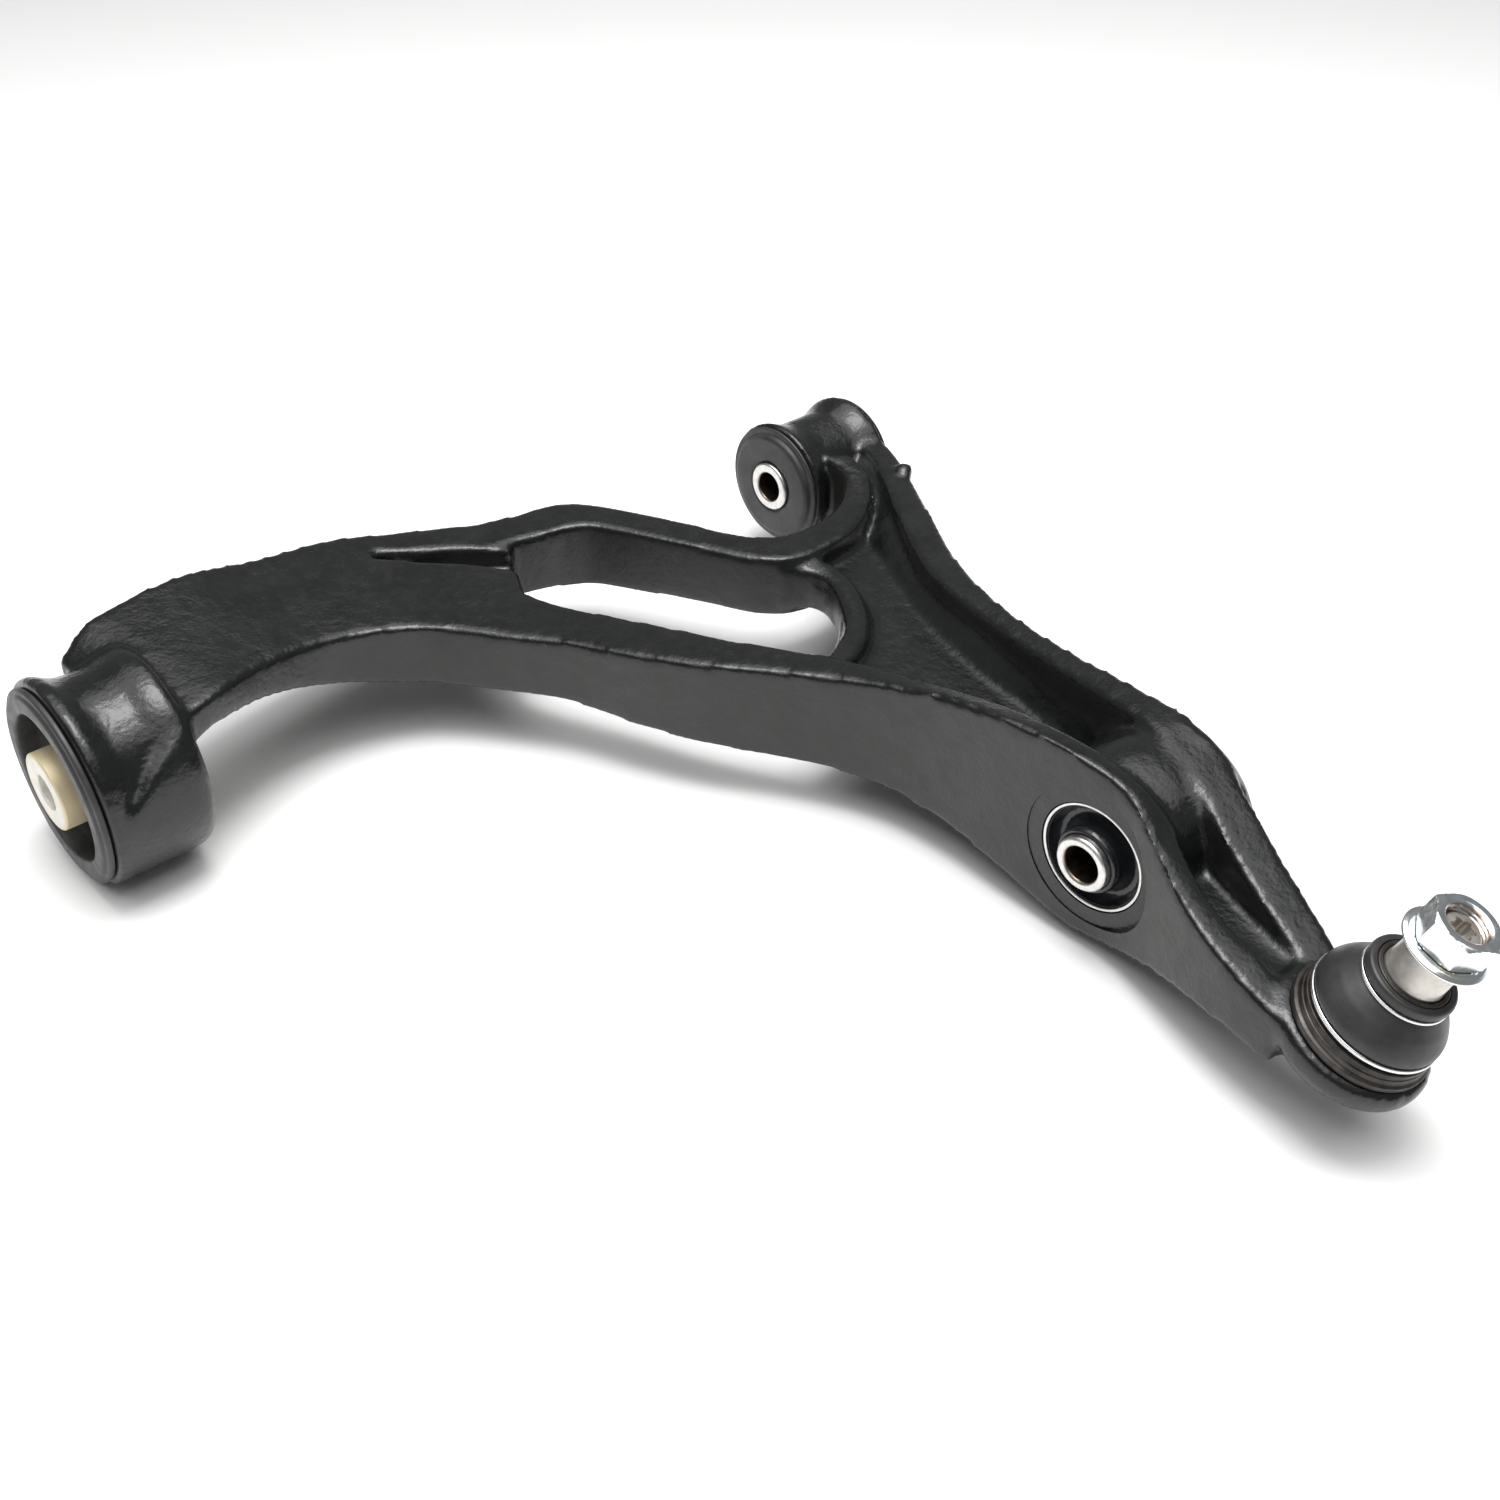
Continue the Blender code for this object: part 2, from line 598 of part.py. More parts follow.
def lock_nut(stud, mats):
    """Hexagon nut on a loose conical washer, both on the stud's thread."""
    bore = STUD_THREAD_R + GAP
    turned("nut_washer", stud, mats["zinc"], [
        (bore, 44.9), (9.9, 44.1), (13.8, 44.1), (14.4, 44.7), (14.4, 45.1),
        (13.0, 46.1), (bore, 46.1),
    ])
    nut = turned("lock_nut", stud, mats["zinc"], [
        (bore, NUT_START), (NUT_HEX_R, NUT_START), (NUT_HEX_R, NUT_TOP), (bore, NUT_TOP),
    ], 6)
    crown = turned("nut_crown", stud, mats["zinc"], [
        (5.0, NUT_START - 1), (13.0, NUT_START - 1), (13.0, NUT_TOP - 2.0),
        (9.4, NUT_TOP - 0.1), (9.4, NUT_TOP + 1), (5.0, NUT_TOP + 1),
    ])
    hole = turned("nut_hole", stud, mats["zinc"], [
        (0.0, NUT_START - 3), (bore, NUT_START - 3), (bore, NUT_TOP + 3), (0.0, NUT_TOP + 3),
    ])
    boolean(nut, hide([crown], "nut_shapers"), "INTERSECT")
    boolean(nut, hide([hole], "nut_cutters"), "DIFFERENCE")


def clear_scene():
    for obj in list(bpy.data.objects):
        bpy.data.objects.remove(obj, do_unlink=True)


def build():
    clear_scene()
    mats = {
        "casting": material("casting_paint", (0.012, 0.013, 0.013), 0.3),
        "rubber": material("rubber_black", (0.02, 0.02, 0.02), 0.6),
        "gloss_rubber": material("rubber_gloss", (0.008, 0.009, 0.011), 0.25),
        "light_core": material("core_alloy", (0.78, 0.74, 0.66), 0.45, 0.6),
        "steel": material("shell_steel", (0.3, 0.3, 0.31), 0.4, 0.9),
        "bright_steel": material("sleeve_steel", (0.62, 0.61, 0.59), 0.3, 1.0),
        "dark_steel": material("housing_steel", (0.05, 0.045, 0.042), 0.4, 0.7),
        "ground_steel": material("stud_steel", (0.6, 0.58, 0.54), 0.3, 1.0),
        "plastic": material("seat_plastic", (0.75, 0.74, 0.7), 0.5),
        "zinc": material("zinc_plate", (0.78, 0.8, 0.84), 0.22, 1.0),
    }
    root = empty("arm_frame", None, [-value for value in ARM_ORIGIN])
    pivot = empty("pivot_axis", root, (0.0, 0.0, 0.0), (1.0, 0.0, 0.0))
    shock = empty("shock_axis", root, (0.0, SHOCK_Y, 0.0), (1.0, 0.0, 0.0))
    stud = empty("stud_axis", root, SOCKET_RIM, STUD_AXIS)
    arm_body(root, (pivot, shock, stud), mats["casting"])
    hydro_bush(pivot, mats)
    small_bush(pivot, mats)
    shock_bush(shock, mats)
    joint_housing(stud, mats)
    ball_seat(stud, mats)
    closing_cap(stud, mats)
    ball_stud(stud, mats)
    dust_boot(stud, mats)
    boot_fittings(stud, mats)
    lock_nut(stud, mats)


build()
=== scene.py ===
import json
from math import asin, cos, pi, radians, sin, tau

import bmesh
import bpy
import numpy as np
from mathutils import Matrix, Vector

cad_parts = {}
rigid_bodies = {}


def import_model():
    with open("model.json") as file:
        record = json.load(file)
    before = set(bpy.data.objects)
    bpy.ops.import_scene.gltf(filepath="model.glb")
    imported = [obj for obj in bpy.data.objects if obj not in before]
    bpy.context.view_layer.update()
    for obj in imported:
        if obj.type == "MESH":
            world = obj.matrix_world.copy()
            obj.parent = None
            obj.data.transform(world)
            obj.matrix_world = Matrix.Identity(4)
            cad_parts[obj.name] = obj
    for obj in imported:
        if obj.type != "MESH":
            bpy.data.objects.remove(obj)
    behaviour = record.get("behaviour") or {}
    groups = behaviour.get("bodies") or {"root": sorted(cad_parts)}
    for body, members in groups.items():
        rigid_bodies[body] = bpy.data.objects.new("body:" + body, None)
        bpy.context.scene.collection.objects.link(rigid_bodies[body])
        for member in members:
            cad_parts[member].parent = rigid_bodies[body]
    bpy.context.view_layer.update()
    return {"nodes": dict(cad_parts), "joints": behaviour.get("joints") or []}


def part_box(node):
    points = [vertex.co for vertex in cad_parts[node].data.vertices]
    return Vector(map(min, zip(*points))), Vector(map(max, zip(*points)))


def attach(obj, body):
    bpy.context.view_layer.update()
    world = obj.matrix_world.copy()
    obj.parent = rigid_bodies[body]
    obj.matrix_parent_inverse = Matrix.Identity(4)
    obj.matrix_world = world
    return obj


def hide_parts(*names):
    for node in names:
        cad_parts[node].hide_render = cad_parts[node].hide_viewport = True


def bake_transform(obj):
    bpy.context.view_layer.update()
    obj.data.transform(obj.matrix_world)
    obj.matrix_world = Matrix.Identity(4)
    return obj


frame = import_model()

# ------------------------------------------------------------------ arm casting
# The arm is one iron casting: two bars with a thin web between them, and bosses
# for three bushes and the ball joint. It is sand cast, bored where the bushes and
# the joint press in, and dipped in gloss black paint.
MM = 0.001
CAST_VOXEL = 1.6 * MM
FILLET_PASSES = 12
SPAN_STEPS = 8


def axis_of(node):
    """Middle of the near face of a sleeve that lies along X."""
    low, high = (Vector(corner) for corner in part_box(node))
    return Vector((low.x, (low.y + high.y) / 2, (low.z + high.z) / 2))


def axis_frame(origin, toward):
    """Local millimetres to world metres, with local Z along toward."""
    turn = Vector((0, 0, 1)).rotation_difference(Vector(toward)).to_matrix().to_4x4()
    return Matrix.Translation(origin) @ turn @ Matrix.Scale(MM, 4)


PIVOT = axis_of("hydro_core")
SHOCK_Y = (axis_of("shock_sleeve").y - PIVOT.y) / MM
STUD = next(joint for joint in frame["joints"] if joint["name"] == "stud_spin")
BALL_BELOW_RIM = 5.0 * MM
SOCKET_RIM = Vector(STUD["pos_m"]) + Vector(STUD["axis"]) * BALL_BELOW_RIM

DRAWING = Matrix.Translation(PIVOT) @ Matrix.Scale(MM, 4)
PIVOT_AXIS = axis_frame(PIVOT, (1, 0, 0))
SHOCK_AXIS = axis_frame(PIVOT + Vector((0, SHOCK_Y * MM, 0)), (1, 0, 0))
STUD_AXIS = axis_frame(SOCKET_RIM, STUD["axis"])


def mesh_object(name, bm, where):
    """Close, orient and place a bmesh drawn in millimetres."""
    bmesh.ops.remove_doubles(bm, verts=bm.verts[:], dist=1e-3)
    bmesh.ops.recalc_face_normals(bm, faces=bm.faces[:])
    bm.transform(where)
    mesh = bpy.data.meshes.new(name)
    bm.to_mesh(mesh)
    bm.free()
    obj = bpy.data.objects.new(name, mesh)
    bpy.context.scene.collection.objects.link(obj)
    return obj


def smooth_path(points, steps=SPAN_STEPS):
    """Catmull-Rom curve through control points of any width."""
    pts = np.array(points, float)
    ends = np.vstack([2 * pts[0] - pts[1], pts, 2 * pts[-1] - pts[-2]])
    out = []
    for a, b, c, d in zip(ends, ends[1:], ends[2:], ends[3:]):
        for t in np.arange(steps) / steps:
            out.append(0.5 * (
                2 * b + (c - a) * t + (2 * a - 5 * b + 4 * c - d) * t ** 2
                + (3 * b - a - 3 * c + d) * t ** 3
            ))
    return np.array(out + [pts[-1]])


def level(x, y, height):
    """Edge of a bar that is as deep below the pivot plane as it is high above it."""
    return (x, y, height, -height)


def bar(name, stations):
    """A bar lofted through stations of two edges, each (x, y, top, bottom)."""
    bm = bmesh.new()
    rings = []
    for x0, y0, top0, low0, x1, y1, top1, low1 in smooth_path([a + b for a, b in stations]):
        corners = [(x0, y0, low0), (x1, y1, low1), (x1, y1, top1), (x0, y0, top0)]
        rings.append([bm.verts.new(corner) for corner in corners])
    for near, far in zip(rings, rings[1:]):
        for i in range(4):
            bm.faces.new((near[i], near[i - 3], far[i - 3], far[i]))
    bm.faces.new(rings[0])
    bm.faces.new(rings[-1])
    return mesh_object(name, bm, DRAWING)


def plate(name, outline, low, top):
    """A plate with a smooth closed outline in plan."""
    loop = smooth_path(outline[-1:] + outline + outline[:1])[SPAN_STEPS:-SPAN_STEPS - 1]
    bm = bmesh.new()
    face = bm.faces.new([bm.verts.new((x, y, low)) for x, y in loop])
    grown = bmesh.ops.extrude_face_region(bm, geom=[face])
    moved = [item for item in grown["geom"] if isinstance(item, bmesh.types.BMVert)]
    bmesh.ops.translate(bm, vec=(0, 0, top - low), verts=moved)
    return mesh_object(name, bm, DRAWING)


def turned(name, outline, where, steps=128, form=None):
    """Turn a closed (radius, height) outline round an axis; form bends the surface."""
    angles = np.arange(steps) * tau / steps
    bm = bmesh.new()
    rows = []
    for radius, height in outline:
        r, z = np.full(steps, float(radius)), np.full(steps, float(height))
        if form is not None:
            r, z = form(r, z, angles)
        rows.append([bm.verts.new((a * cos(t), a * sin(t), b)) for a, b, t in zip(r, z, angles)])
    for i, (first, second) in enumerate(zip(rows, rows[1:] + rows[:1])):
        if outline[i][0] == 0.0 and outline[(i + 1) % len(outline)][0] == 0.0:
            continue
        for j in range(steps):
            bm.faces.new((first[j], first[j - 1], second[j - 1], second[j]))
    return mesh_object(name, bm, where)


def gather(name, objects):
    """Collection of construction shapes for one Boolean."""
    group = bpy.data.collections.new(name)
    for obj in objects:
        bpy.context.scene.collection.objects.unlink(obj)
        group.objects.link(obj)
    return group


def add_boolean(obj, group, operation):
    mod = obj.modifiers.new(group.name, "BOOLEAN")
    mod.operation = operation
    mod.operand_type = "COLLECTION"
    mod.collection = group
    mod.solver = "EXACT"


def settle(obj, *groups):
    """Apply an object's modifiers, then clear away the construction shapes."""
    graph = bpy.context.evaluated_depsgraph_get()
    mesh = bpy.data.meshes.new_from_object(obj.evaluated_get(graph))
    obj.modifiers.clear()
    obj.data = mesh
    for group in groups:
        for part in list(group.objects):
            bpy.data.objects.remove(part, do_unlink=True)
        bpy.data.collections.remove(group)
    return obj


LEG = [
    ((36, -30, 24, 12), (28, 36, 30, 10)),
    ((48, -29, 27, 14), (42, 40, 39, 8)),
    ((64, -24, 28, 15), (60, 45, 40, 8)),
    ((90, -12, 24, 8), (90, 54, 37, 3)),
    ((120, -6, 19, -3), (124, 61, 28, -5)),
    ((149, -13, 16, -12), (164, 66, 21, -11)),
    ((164, -25, 15, -14), (195, 57, 17, -15)),
    ((176, -41, 14.5, -14.5), (222, 44, 16, -15)),
    ((188, -58, 14, -14), (234, 30, 12, -15)),
]
NEAR_BAR = [
    (level(164, -24, 13.5), level(206, -10, 13.5)),
    (level(171, -33, 14), level(210, -34, 14)),
    (level(193, -66, 15), level(219, -57, 15)),
    (level(205, -95, 17.5), level(228, -81, 17)),
    (level(219, -123, 19.6), level(236, -104, 19)),
    (level(235, -147, 21), level(246, -126, 20)),
    ((250, -175, 23.5, -22), (261, -158, 22, -21)),
    ((256, -197, 28, -23), (268, -188, 25, -22)),
    ((257.5, -221, 34, -25), (269, -214, 30, -24)),
    ((256.8, -250, 38.5, -29), (268.5, -246, 36, -29)),
    ((256.8, -279, 39, -36), (267.5, -277, 37.5, -36)),
    ((256, -300, 35.5, -34), (266, -300, 34, -34)),
    ((250, -318, 25, -26), (262, -318, 24, -26)),
    ((243, -337, 14.5, -20), (254, -340, 13.5, -20)),
    ((237, -358, 8, -17), (250, -362, 8, -17)),
    ((234, -380, 2, -18), (247, -380, 2, -18)),
]
BACK_BAR = [
    (level(195, 57, 16.5), level(184, 38, 15)),
    (level(222, 44, 15.5), level(211, 24, 15)),
    (level(248, 38, 15), level(243, 14, 15)),
    (level(267, 32, 16), level(255, 10, 16)),
    (level(281, 15, 16), level(266, 0, 16)),
    (level(302, -29, 15), level(287, -43, 15)),
    (level(313, -52, 15), level(300, -70, 15)),
    (level(325, -61, 15), level(317, -81, 15)),
    (level(348, -61, 15), level(346, -80, 15)),
    (level(371, -51, 15), level(373, -67, 15)),
    (level(385, -38, 17), level(394, -46, 17)),
    (level(389, -20, 19), level(400, -26, 19)),
]
FAR_BAR = [
    (level(422, -12, 16), level(412, -12, 16)),
    (level(424, -28, 17), level(411, -27, 17)),
    (level(411, -54, 17), level(397, -52, 17)),
    (level(391, -85, 18), level(376, -80, 18)),
    (level(357, -137, 20), level(342, -132, 19.5)),
    (level(336, -183, 24), level(325, -181, 22)),
    (level(325, -222, 28), level(314, -220, 26)),
    (level(317, -256, 33), level(304, -254, 31)),
    (level(310, -288, 36), level(295, -284, 35)),
    (level(304, -308, 31), level(288, -304, 31)),
    ((297, -325, 24, -26), (280, -320, 24, -26)),
    ((289, -345, 15, -20), (272, -340, 15, -20)),
    ((279, -367, 8, -17), (264, -362, 8, -17)),
    ((271, -384, 2, -18), (259, -380, 2, -18)),
]
FAR_SLOPE = [
    (level(414, -24, 14), level(396, -24, 4)),
    (level(401, -54, 15), level(383, -50, 4)),
    (level(380, -82, 16), level(363, -79, 4)),
    (level(346, -134, 17), level(333, -138, 4)),
    (level(329, -183, 19), level(317, -184, 4)),
    (level(318, -222, 22), level(309, -222, 4)),
    (level(308, -254, 25), level(300, -250, 4)),
]
SLOT_RIM = [
    (level(312, -70, 11), level(305, -78, 10)),
    (level(325, -82, 11), level(314, -86, 10)),
    (level(326, -98, 10), level(316, -96, 10)),
    (level(317, -118, 10), level(309, -110, 10)),
    (level(302, -136, 10), level(295, -128, 10)),
    (level(284, -148, 11), level(278, -139, 11)),
    (level(262, -154, 13), level(258, -146, 13)),
]
WEB = [
    (318, -76), (346, -75), (370, -62), (392, -36), (408, -30),
    (392, -66), (364, -110), (330, -164), (312, -214), (302, -260),
    (296, -300), (286, -330), (268, -370), (244, -370), (250, -340),
    (264, -305), (264, -250), (264, -200), (256, -165), (243, -130),
    (262, -134), (290, -128), (312, -104),
]
WINDOW = [
    (232, 2), (246, 8), (256, 5), (266, -6), (287, -47), (301, -73),
    (311, -83), (314, -96), (306, -112), (291, -127), (274, -139),
    (262, -144), (252, -136), (240, -108), (230, -82), (221, -56),
    (215, -34), (220, -12),
]
POCKET_LIP = [
    ((184, 43, 9, -9), (178, 38.5, 14, -14)),
    ((197, 22, 9, -9), (191, 17, 13, -13)),
    ((211, 7, 8, -8), (206, 1, 13, -13)),
    ((219, 1, 8, -8), (216, -5, 13, -13)),
]
POCKET = [(171, 45, 175, 47), (193, 24, 200, 32), (214, 2, 224, 15), (228, -10, 246, 12)]

LARGE_BOSS = [
    (30.0, 7.0), (41.6, 7.0), (42.6, 8.0), (42.6, 12.0), (40.0, 15.5), (38.3, 20.0),
    (38.3, 32.0), (40.5, 38.0), (41.5, 43.0), (41.5, 45.5), (39.0, 48.0), (30.0, 48.0),
]
SHOULDER = [
    (7.5, 42.4, -11), (11, 42.4, -4), (18, 42.4, 7), (25, 42.4, 14), (33, 42.4, 20),
    (42, 42.1, 25), (45, 41.2, 26), (47.4, 38.6, 26),
]
SMALL_BOSS = [
    (18.0, 376.0), (29.8, 376.0), (31.0, 377.5), (29.5, 380.5), (27.8, 385.0),
    (26.3, 390.0), (26.3, 412.0), (27.8, 416.5), (30.0, 421.0), (31.0, 424.5),
    (29.8, 426.0), (18.0, 426.0),
]
SHOCK_BARREL = [
    (16.0, 256.8), (30.5, 256.8), (33.0, 258.2), (36.0, 261.8), (36.4, 264.5),
    (31.5, 268.5), (32.5, 273.0), (33.5, 280.0), (33.5, 290.0), (32.5, 297.0),
    (36.0, 303.0), (36.0, 305.0), (33.0, 309.0), (16.0, 309.0),
]
BALL_CUP = [
    (0.0, -0.8), (25.5, -0.8), (27.0, -2.4), (27.0, -8.0), (25.0, -11.2), (21.0, -15.0),
    (16.5, -19.0), (12.5, -22.5), (0.0, -22.5),
]


def shoulder():
    """Lower part of the large boss at full radius; its top edge climbs to the leg."""
    bm = bmesh.new()
    rings = []
    for x, radius, edge in smooth_path(SHOULDER, 3):
        rise = asin(edge / radius)
        rings.append([
            bm.verts.new((x, radius * cos(a), radius * sin(a)))
            for a in np.linspace(pi - rise, tau + rise, 73)
        ])
    for near, far in zip(rings, rings[1:]):
        for i in range(len(near)):
            bm.faces.new((near[i], near[i - 1], far[i - 1], far[i]))
    bm.faces.new(rings[0])
    bm.faces.new(rings[-1])
    return mesh_object("shoulder", bm, DRAWING)


def cast_shape():
    """Everything the mould gives: bosses, bars, web, window and pockets."""
    casting = bar("arm_casting", LEG)
    pip = axis_frame(PIVOT + Vector((407, -57, 14)) * MM, (0, 0, 1))
    solids = gather("cast_solids", [
        bar("near_bar", NEAR_BAR), bar("back_bar", BACK_BAR), bar("far_bar", FAR_BAR),
        bar("far_slope", FAR_SLOPE), bar("slot_rim", SLOT_RIM), plate("web", WEB, -7, 3),
        turned("large_boss", LARGE_BOSS, PIVOT_AXIS), shoulder(),
        turned("small_boss", SMALL_BOSS, PIVOT_AXIS),
        turned("shock_barrel", SHOCK_BARREL, SHOCK_AXIS),
        turned("ball_cup", BALL_CUP, STUD_AXIS),
        turned("pip", [(0, 7), (3.2, 7), (4.2, 5.8), (4.6, 0), (0, 0)], pip, 32),
    ])
    print_axis = axis_frame(PIVOT + Vector((118, 46, 33)) * MM, (0.1, -0.5, 1.0))
    openings = gather("cast_openings", [
        plate("window", WINDOW, -60, 60),
        bar("top_pocket", [((a, b, 60, 4), (c, d, 60, 4)) for a, b, c, d in POCKET]),
        bar("low_pocket", [((a, b, -6, -60), (c, d, -6, -60)) for a, b, c, d in POCKET]),
        turned("core_print", [(0, 9), (8.5, 9), (7, 2), (4, -5), (0, -7)], print_axis, 48),
    ])
    add_boolean(casting, solids, "UNION")
    add_boolean(casting, openings, "DIFFERENCE")
    ribs = gather("cast_ribs", [bar("pocket_lip", POCKET_LIP)])
    add_boolean(casting, ribs, "UNION")
    remesh = casting.modifiers.new("skin", "REMESH")
    remesh.mode = "VOXEL"
    remesh.voxel_size = CAST_VOXEL
    fillet = casting.modifiers.new("fillet", "SMOOTH")
    fillet.factor = 0.5
    fillet.iterations = FILLET_PASSES
    return settle(casting, solids, openings, ribs)


def machine(casting):
    """Bore the bosses and the cup, and face the near side of the shock boss."""
    cutters = gather("cutters", [
        turned("large_bore", [(0, -20), (34, -20), (34, 47), (20, 47), (20, 60), (0, 60)],
               PIVOT_AXIS),
        turned("small_bore", [(0, 340), (22.3, 340), (22.3, 470), (0, 470)], PIVOT_AXIS),
        turned("shock_bore", [(0, 200), (28.5, 200), (28.5, 257.2), (22, 257.2), (22, 340), (0, 340)],
               SHOCK_AXIS),
        turned("cup_bore", [
            (0, 30), (24.9, 30), (24.9, -0.8), (22, -0.8), (22, -7.4), (11, -18.4),
            (9.5, -19), (9.5, -40), (0, -40),
        ], STUD_AXIS),
    ])
    add_boolean(casting, cutters, "DIFFERENCE")
    return settle(casting, cutters)


def node(tree, kind, **values):
    """Add a shader node; values set its properties or its inputs by name."""
    made = tree.nodes.new(kind)
    for key, value in values.items():
        if hasattr(made, key):
            setattr(made, key, value)
        else:
            made.inputs[key.replace("_", " ").title()].default_value = value
    return made


def surface(name, colour, roughness, metallic=0.0):
    """A Principled material; returns it with its tree and its shader node."""
    mat = bpy.data.materials.new(name)
    mat.use_nodes = True
    tree = mat.node_tree
    shader = tree.nodes["Principled BSDF"]
    shader.inputs["Base Color"].default_value = (*colour, 1.0)
    shader.inputs["Roughness"].default_value = roughness
    shader.inputs["Metallic"].default_value = metallic
    return mat, tree, shader


def speckle(tree, scale, detail=3.0, roughness=0.6):
    """Noise over the piece in metres; scale is features per metre."""
    where = node(tree, "ShaderNodeTexCoord")
    noise = node(tree, "ShaderNodeTexNoise", scale=scale, detail=detail, roughness=roughness)
    tree.links.new(where.outputs["Object"], noise.inputs["Vector"])
    return noise.outputs["Fac"]


def spread(tree, value, low, high, from_low=0.3, from_high=0.7):
    """Stretch a noise value to a range of roughness or height."""
    ramp = node(tree, "ShaderNodeMapRange")
    for key, number in zip(("From Min", "From Max", "To Min", "To Max"),
                           (from_low, from_high, low, high)):
        ramp.inputs[key].default_value = number
    tree.links.new(value, ramp.inputs["Value"])
    return ramp.outputs["Result"]


def blend_colours(tree, factor, first, second):
    mix = node(tree, "ShaderNodeMix", data_type="RGBA")
    colours = [socket for socket in mix.inputs if socket.type == "RGBA"]
    for socket, colour in zip(colours, (first, second)):
        if isinstance(colour, tuple):
            socket.default_value = (*colour, 1.0)
        else:
            tree.links.new(colour, socket)
    tree.links.new(factor, mix.inputs["Factor"])
    return next(socket for socket in mix.outputs if socket.type == "RGBA")


def bump(tree, height, strength, depth, under=None):
    """Height in metres times depth, laid over another bump."""
    made = node(tree, "ShaderNodeBump")
    made.inputs["Strength"].default_value = strength
    made.inputs["Distance"].default_value = depth
    tree.links.new(height, made.inputs["Height"])
    if under is not None:
        tree.links.new(under, made.inputs["Normal"])
    return made.outputs["Normal"]


def cast_paint():
    """Gloss black dip over cast grain, duller on the drafted flanks; the steep sides facing -X also get a
    lighter grey base colour, a painted reflection.
    """
    mat, tree, shader = surface("cast_paint", (0.006, 0.0065, 0.0065), 0.2)
    # This mask carries both the real satin of the drafted sides and a painted reflection on the sides
    # facing -X.
    flank_and_painted_reflection = node(tree, "ShaderNodeAttribute", attribute_name="flank_and_painted_reflection").outputs["Fac"]
    patches = speckle(tree, 60.0, 4.0)
    tint = blend_colours(tree, spread(tree, patches, 0, 1),
                         (0.003, 0.0035, 0.0035), (0.008, 0.0085, 0.0085))
    # Painted reflection: steep sides facing -X get a lighter grey base colour for the light they reflect.
    grey = blend_colours(tree, flank_and_painted_reflection, tint, (0.013, 0.0135, 0.0125))
    tree.links.new(grey, shader.inputs["Base Color"])
    gloss = spread(tree, speckle(tree, 220.0), 0.16, 0.30)
    dull = spread(tree, speckle(tree, 90.0), 0.34, 0.46)
    mix = node(tree, "ShaderNodeMix")
    for key, source in (("Factor", flank_and_painted_reflection), ("A", gloss), ("B", dull)):
        tree.links.new(source, mix.inputs[key])
    tree.links.new(mix.outputs["Result"], shader.inputs["Roughness"])
    waves = bump(tree, speckle(tree, 130.0, 2.0), 0.5, 0.8 * MM)
    peel = bump(tree, speckle(tree, 620.0, 3.0), 0.45, 0.35 * MM, waves)
    grain = bump(tree, speckle(tree, 1700.0, 2.0), 0.3, 0.12 * MM, peel)
    tree.links.new(grain, shader.inputs["Normal"])
    return mat


def mark_flanks_and_painted_reflection(obj):
    """Store how much each point lies on a steep outer side facing -X: the paint makes these duller and
    paints a reflection on them as lighter grey.
    """
    normals = np.array([v.normal[:] for v in obj.data.vertices])
    steep = np.clip((0.35 - np.abs(normals[:, 2])) / 0.2, 0, 1)
    facing = np.clip((-normals[:, 0] - 0.35) / 0.25, 0, 1)
    attribute = obj.data.attributes.new("flank_and_painted_reflection", "FLOAT", "POINT")
    attribute.data.foreach_set("value", (steep * facing).astype(np.float32))


def finish_piece(obj, mat, body, stands_for=(), sharp=35):
    """Shade, paint and hang a finished piece on its body."""
    obj.data.materials.clear()
    obj.data.materials.append(mat)
    obj.data.shade_smooth()
    obj.data.set_sharp_from_angle(angle=radians(sharp))
    if body:
        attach(obj, body)
    if stands_for:
        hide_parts(*stands_for)
    return obj


casting = machine(cast_shape())
mark_flanks_and_painted_reflection(casting)
finish_piece(casting, cast_paint(), "arm", ["arm_body"], 40)

# ------------------------------------------------------------------ large bush
# The fluid-filled bush on the pivot: a drawn steel shell pressed into the arm,
# moulded rubber with a deep mouth and a lip over the boss, and a light alloy core
# that an M14 bolt clamps to the subframe.
BOLT_R = 7.15
CORE_R = 15.9
LARGE_SHELL_R = 33.7


def eased(outline, radius=0.5, steps=4):
    """Round the corners of a closed outline, except those on the axis."""
    corners = [Vector(point) for point in outline]
    out = []
    for before, here, after in zip(corners[-1:] + corners, corners, corners[1:] + corners[:1]):
        if here.x == 0.0:
            out.append(here)
            continue
        back, ahead = before - here, after - here
        cut = min(radius, back.length * 0.45, ahead.length * 0.45)
        start, end = here + back.normalized() * cut, here + ahead.normalized() * cut
        for t in np.linspace(0, 1, steps):
            out.append(start * (1 - t) ** 2 + here * 2 * t * (1 - t) + end * t ** 2)
    return [tuple(point) for point in out]


def sleeve_outline(outer, inner, start, end, chamfer=0.8):
    return [
        (inner, start + chamfer), (inner + chamfer, start), (outer - chamfer, start),
        (outer, start + chamfer), (outer, end - chamfer), (outer - chamfer, end),
        (inner + chamfer, end), (inner, end - chamfer),
    ]


def drawn_steel():
    """Thin drawn tube with faint lengthwise streaks."""
    mat, tree, shader = surface("drawn_steel", (0.34, 0.34, 0.35), 0.35, 1.0)
    tree.links.new(spread(tree, speckle(tree, 400.0), 0.28, 0.45), shader.inputs["Roughness"])
    tree.links.new(bump(tree, speckle(tree, 900.0), 0.2, 0.1 * MM), shader.inputs["Normal"])
    return mat


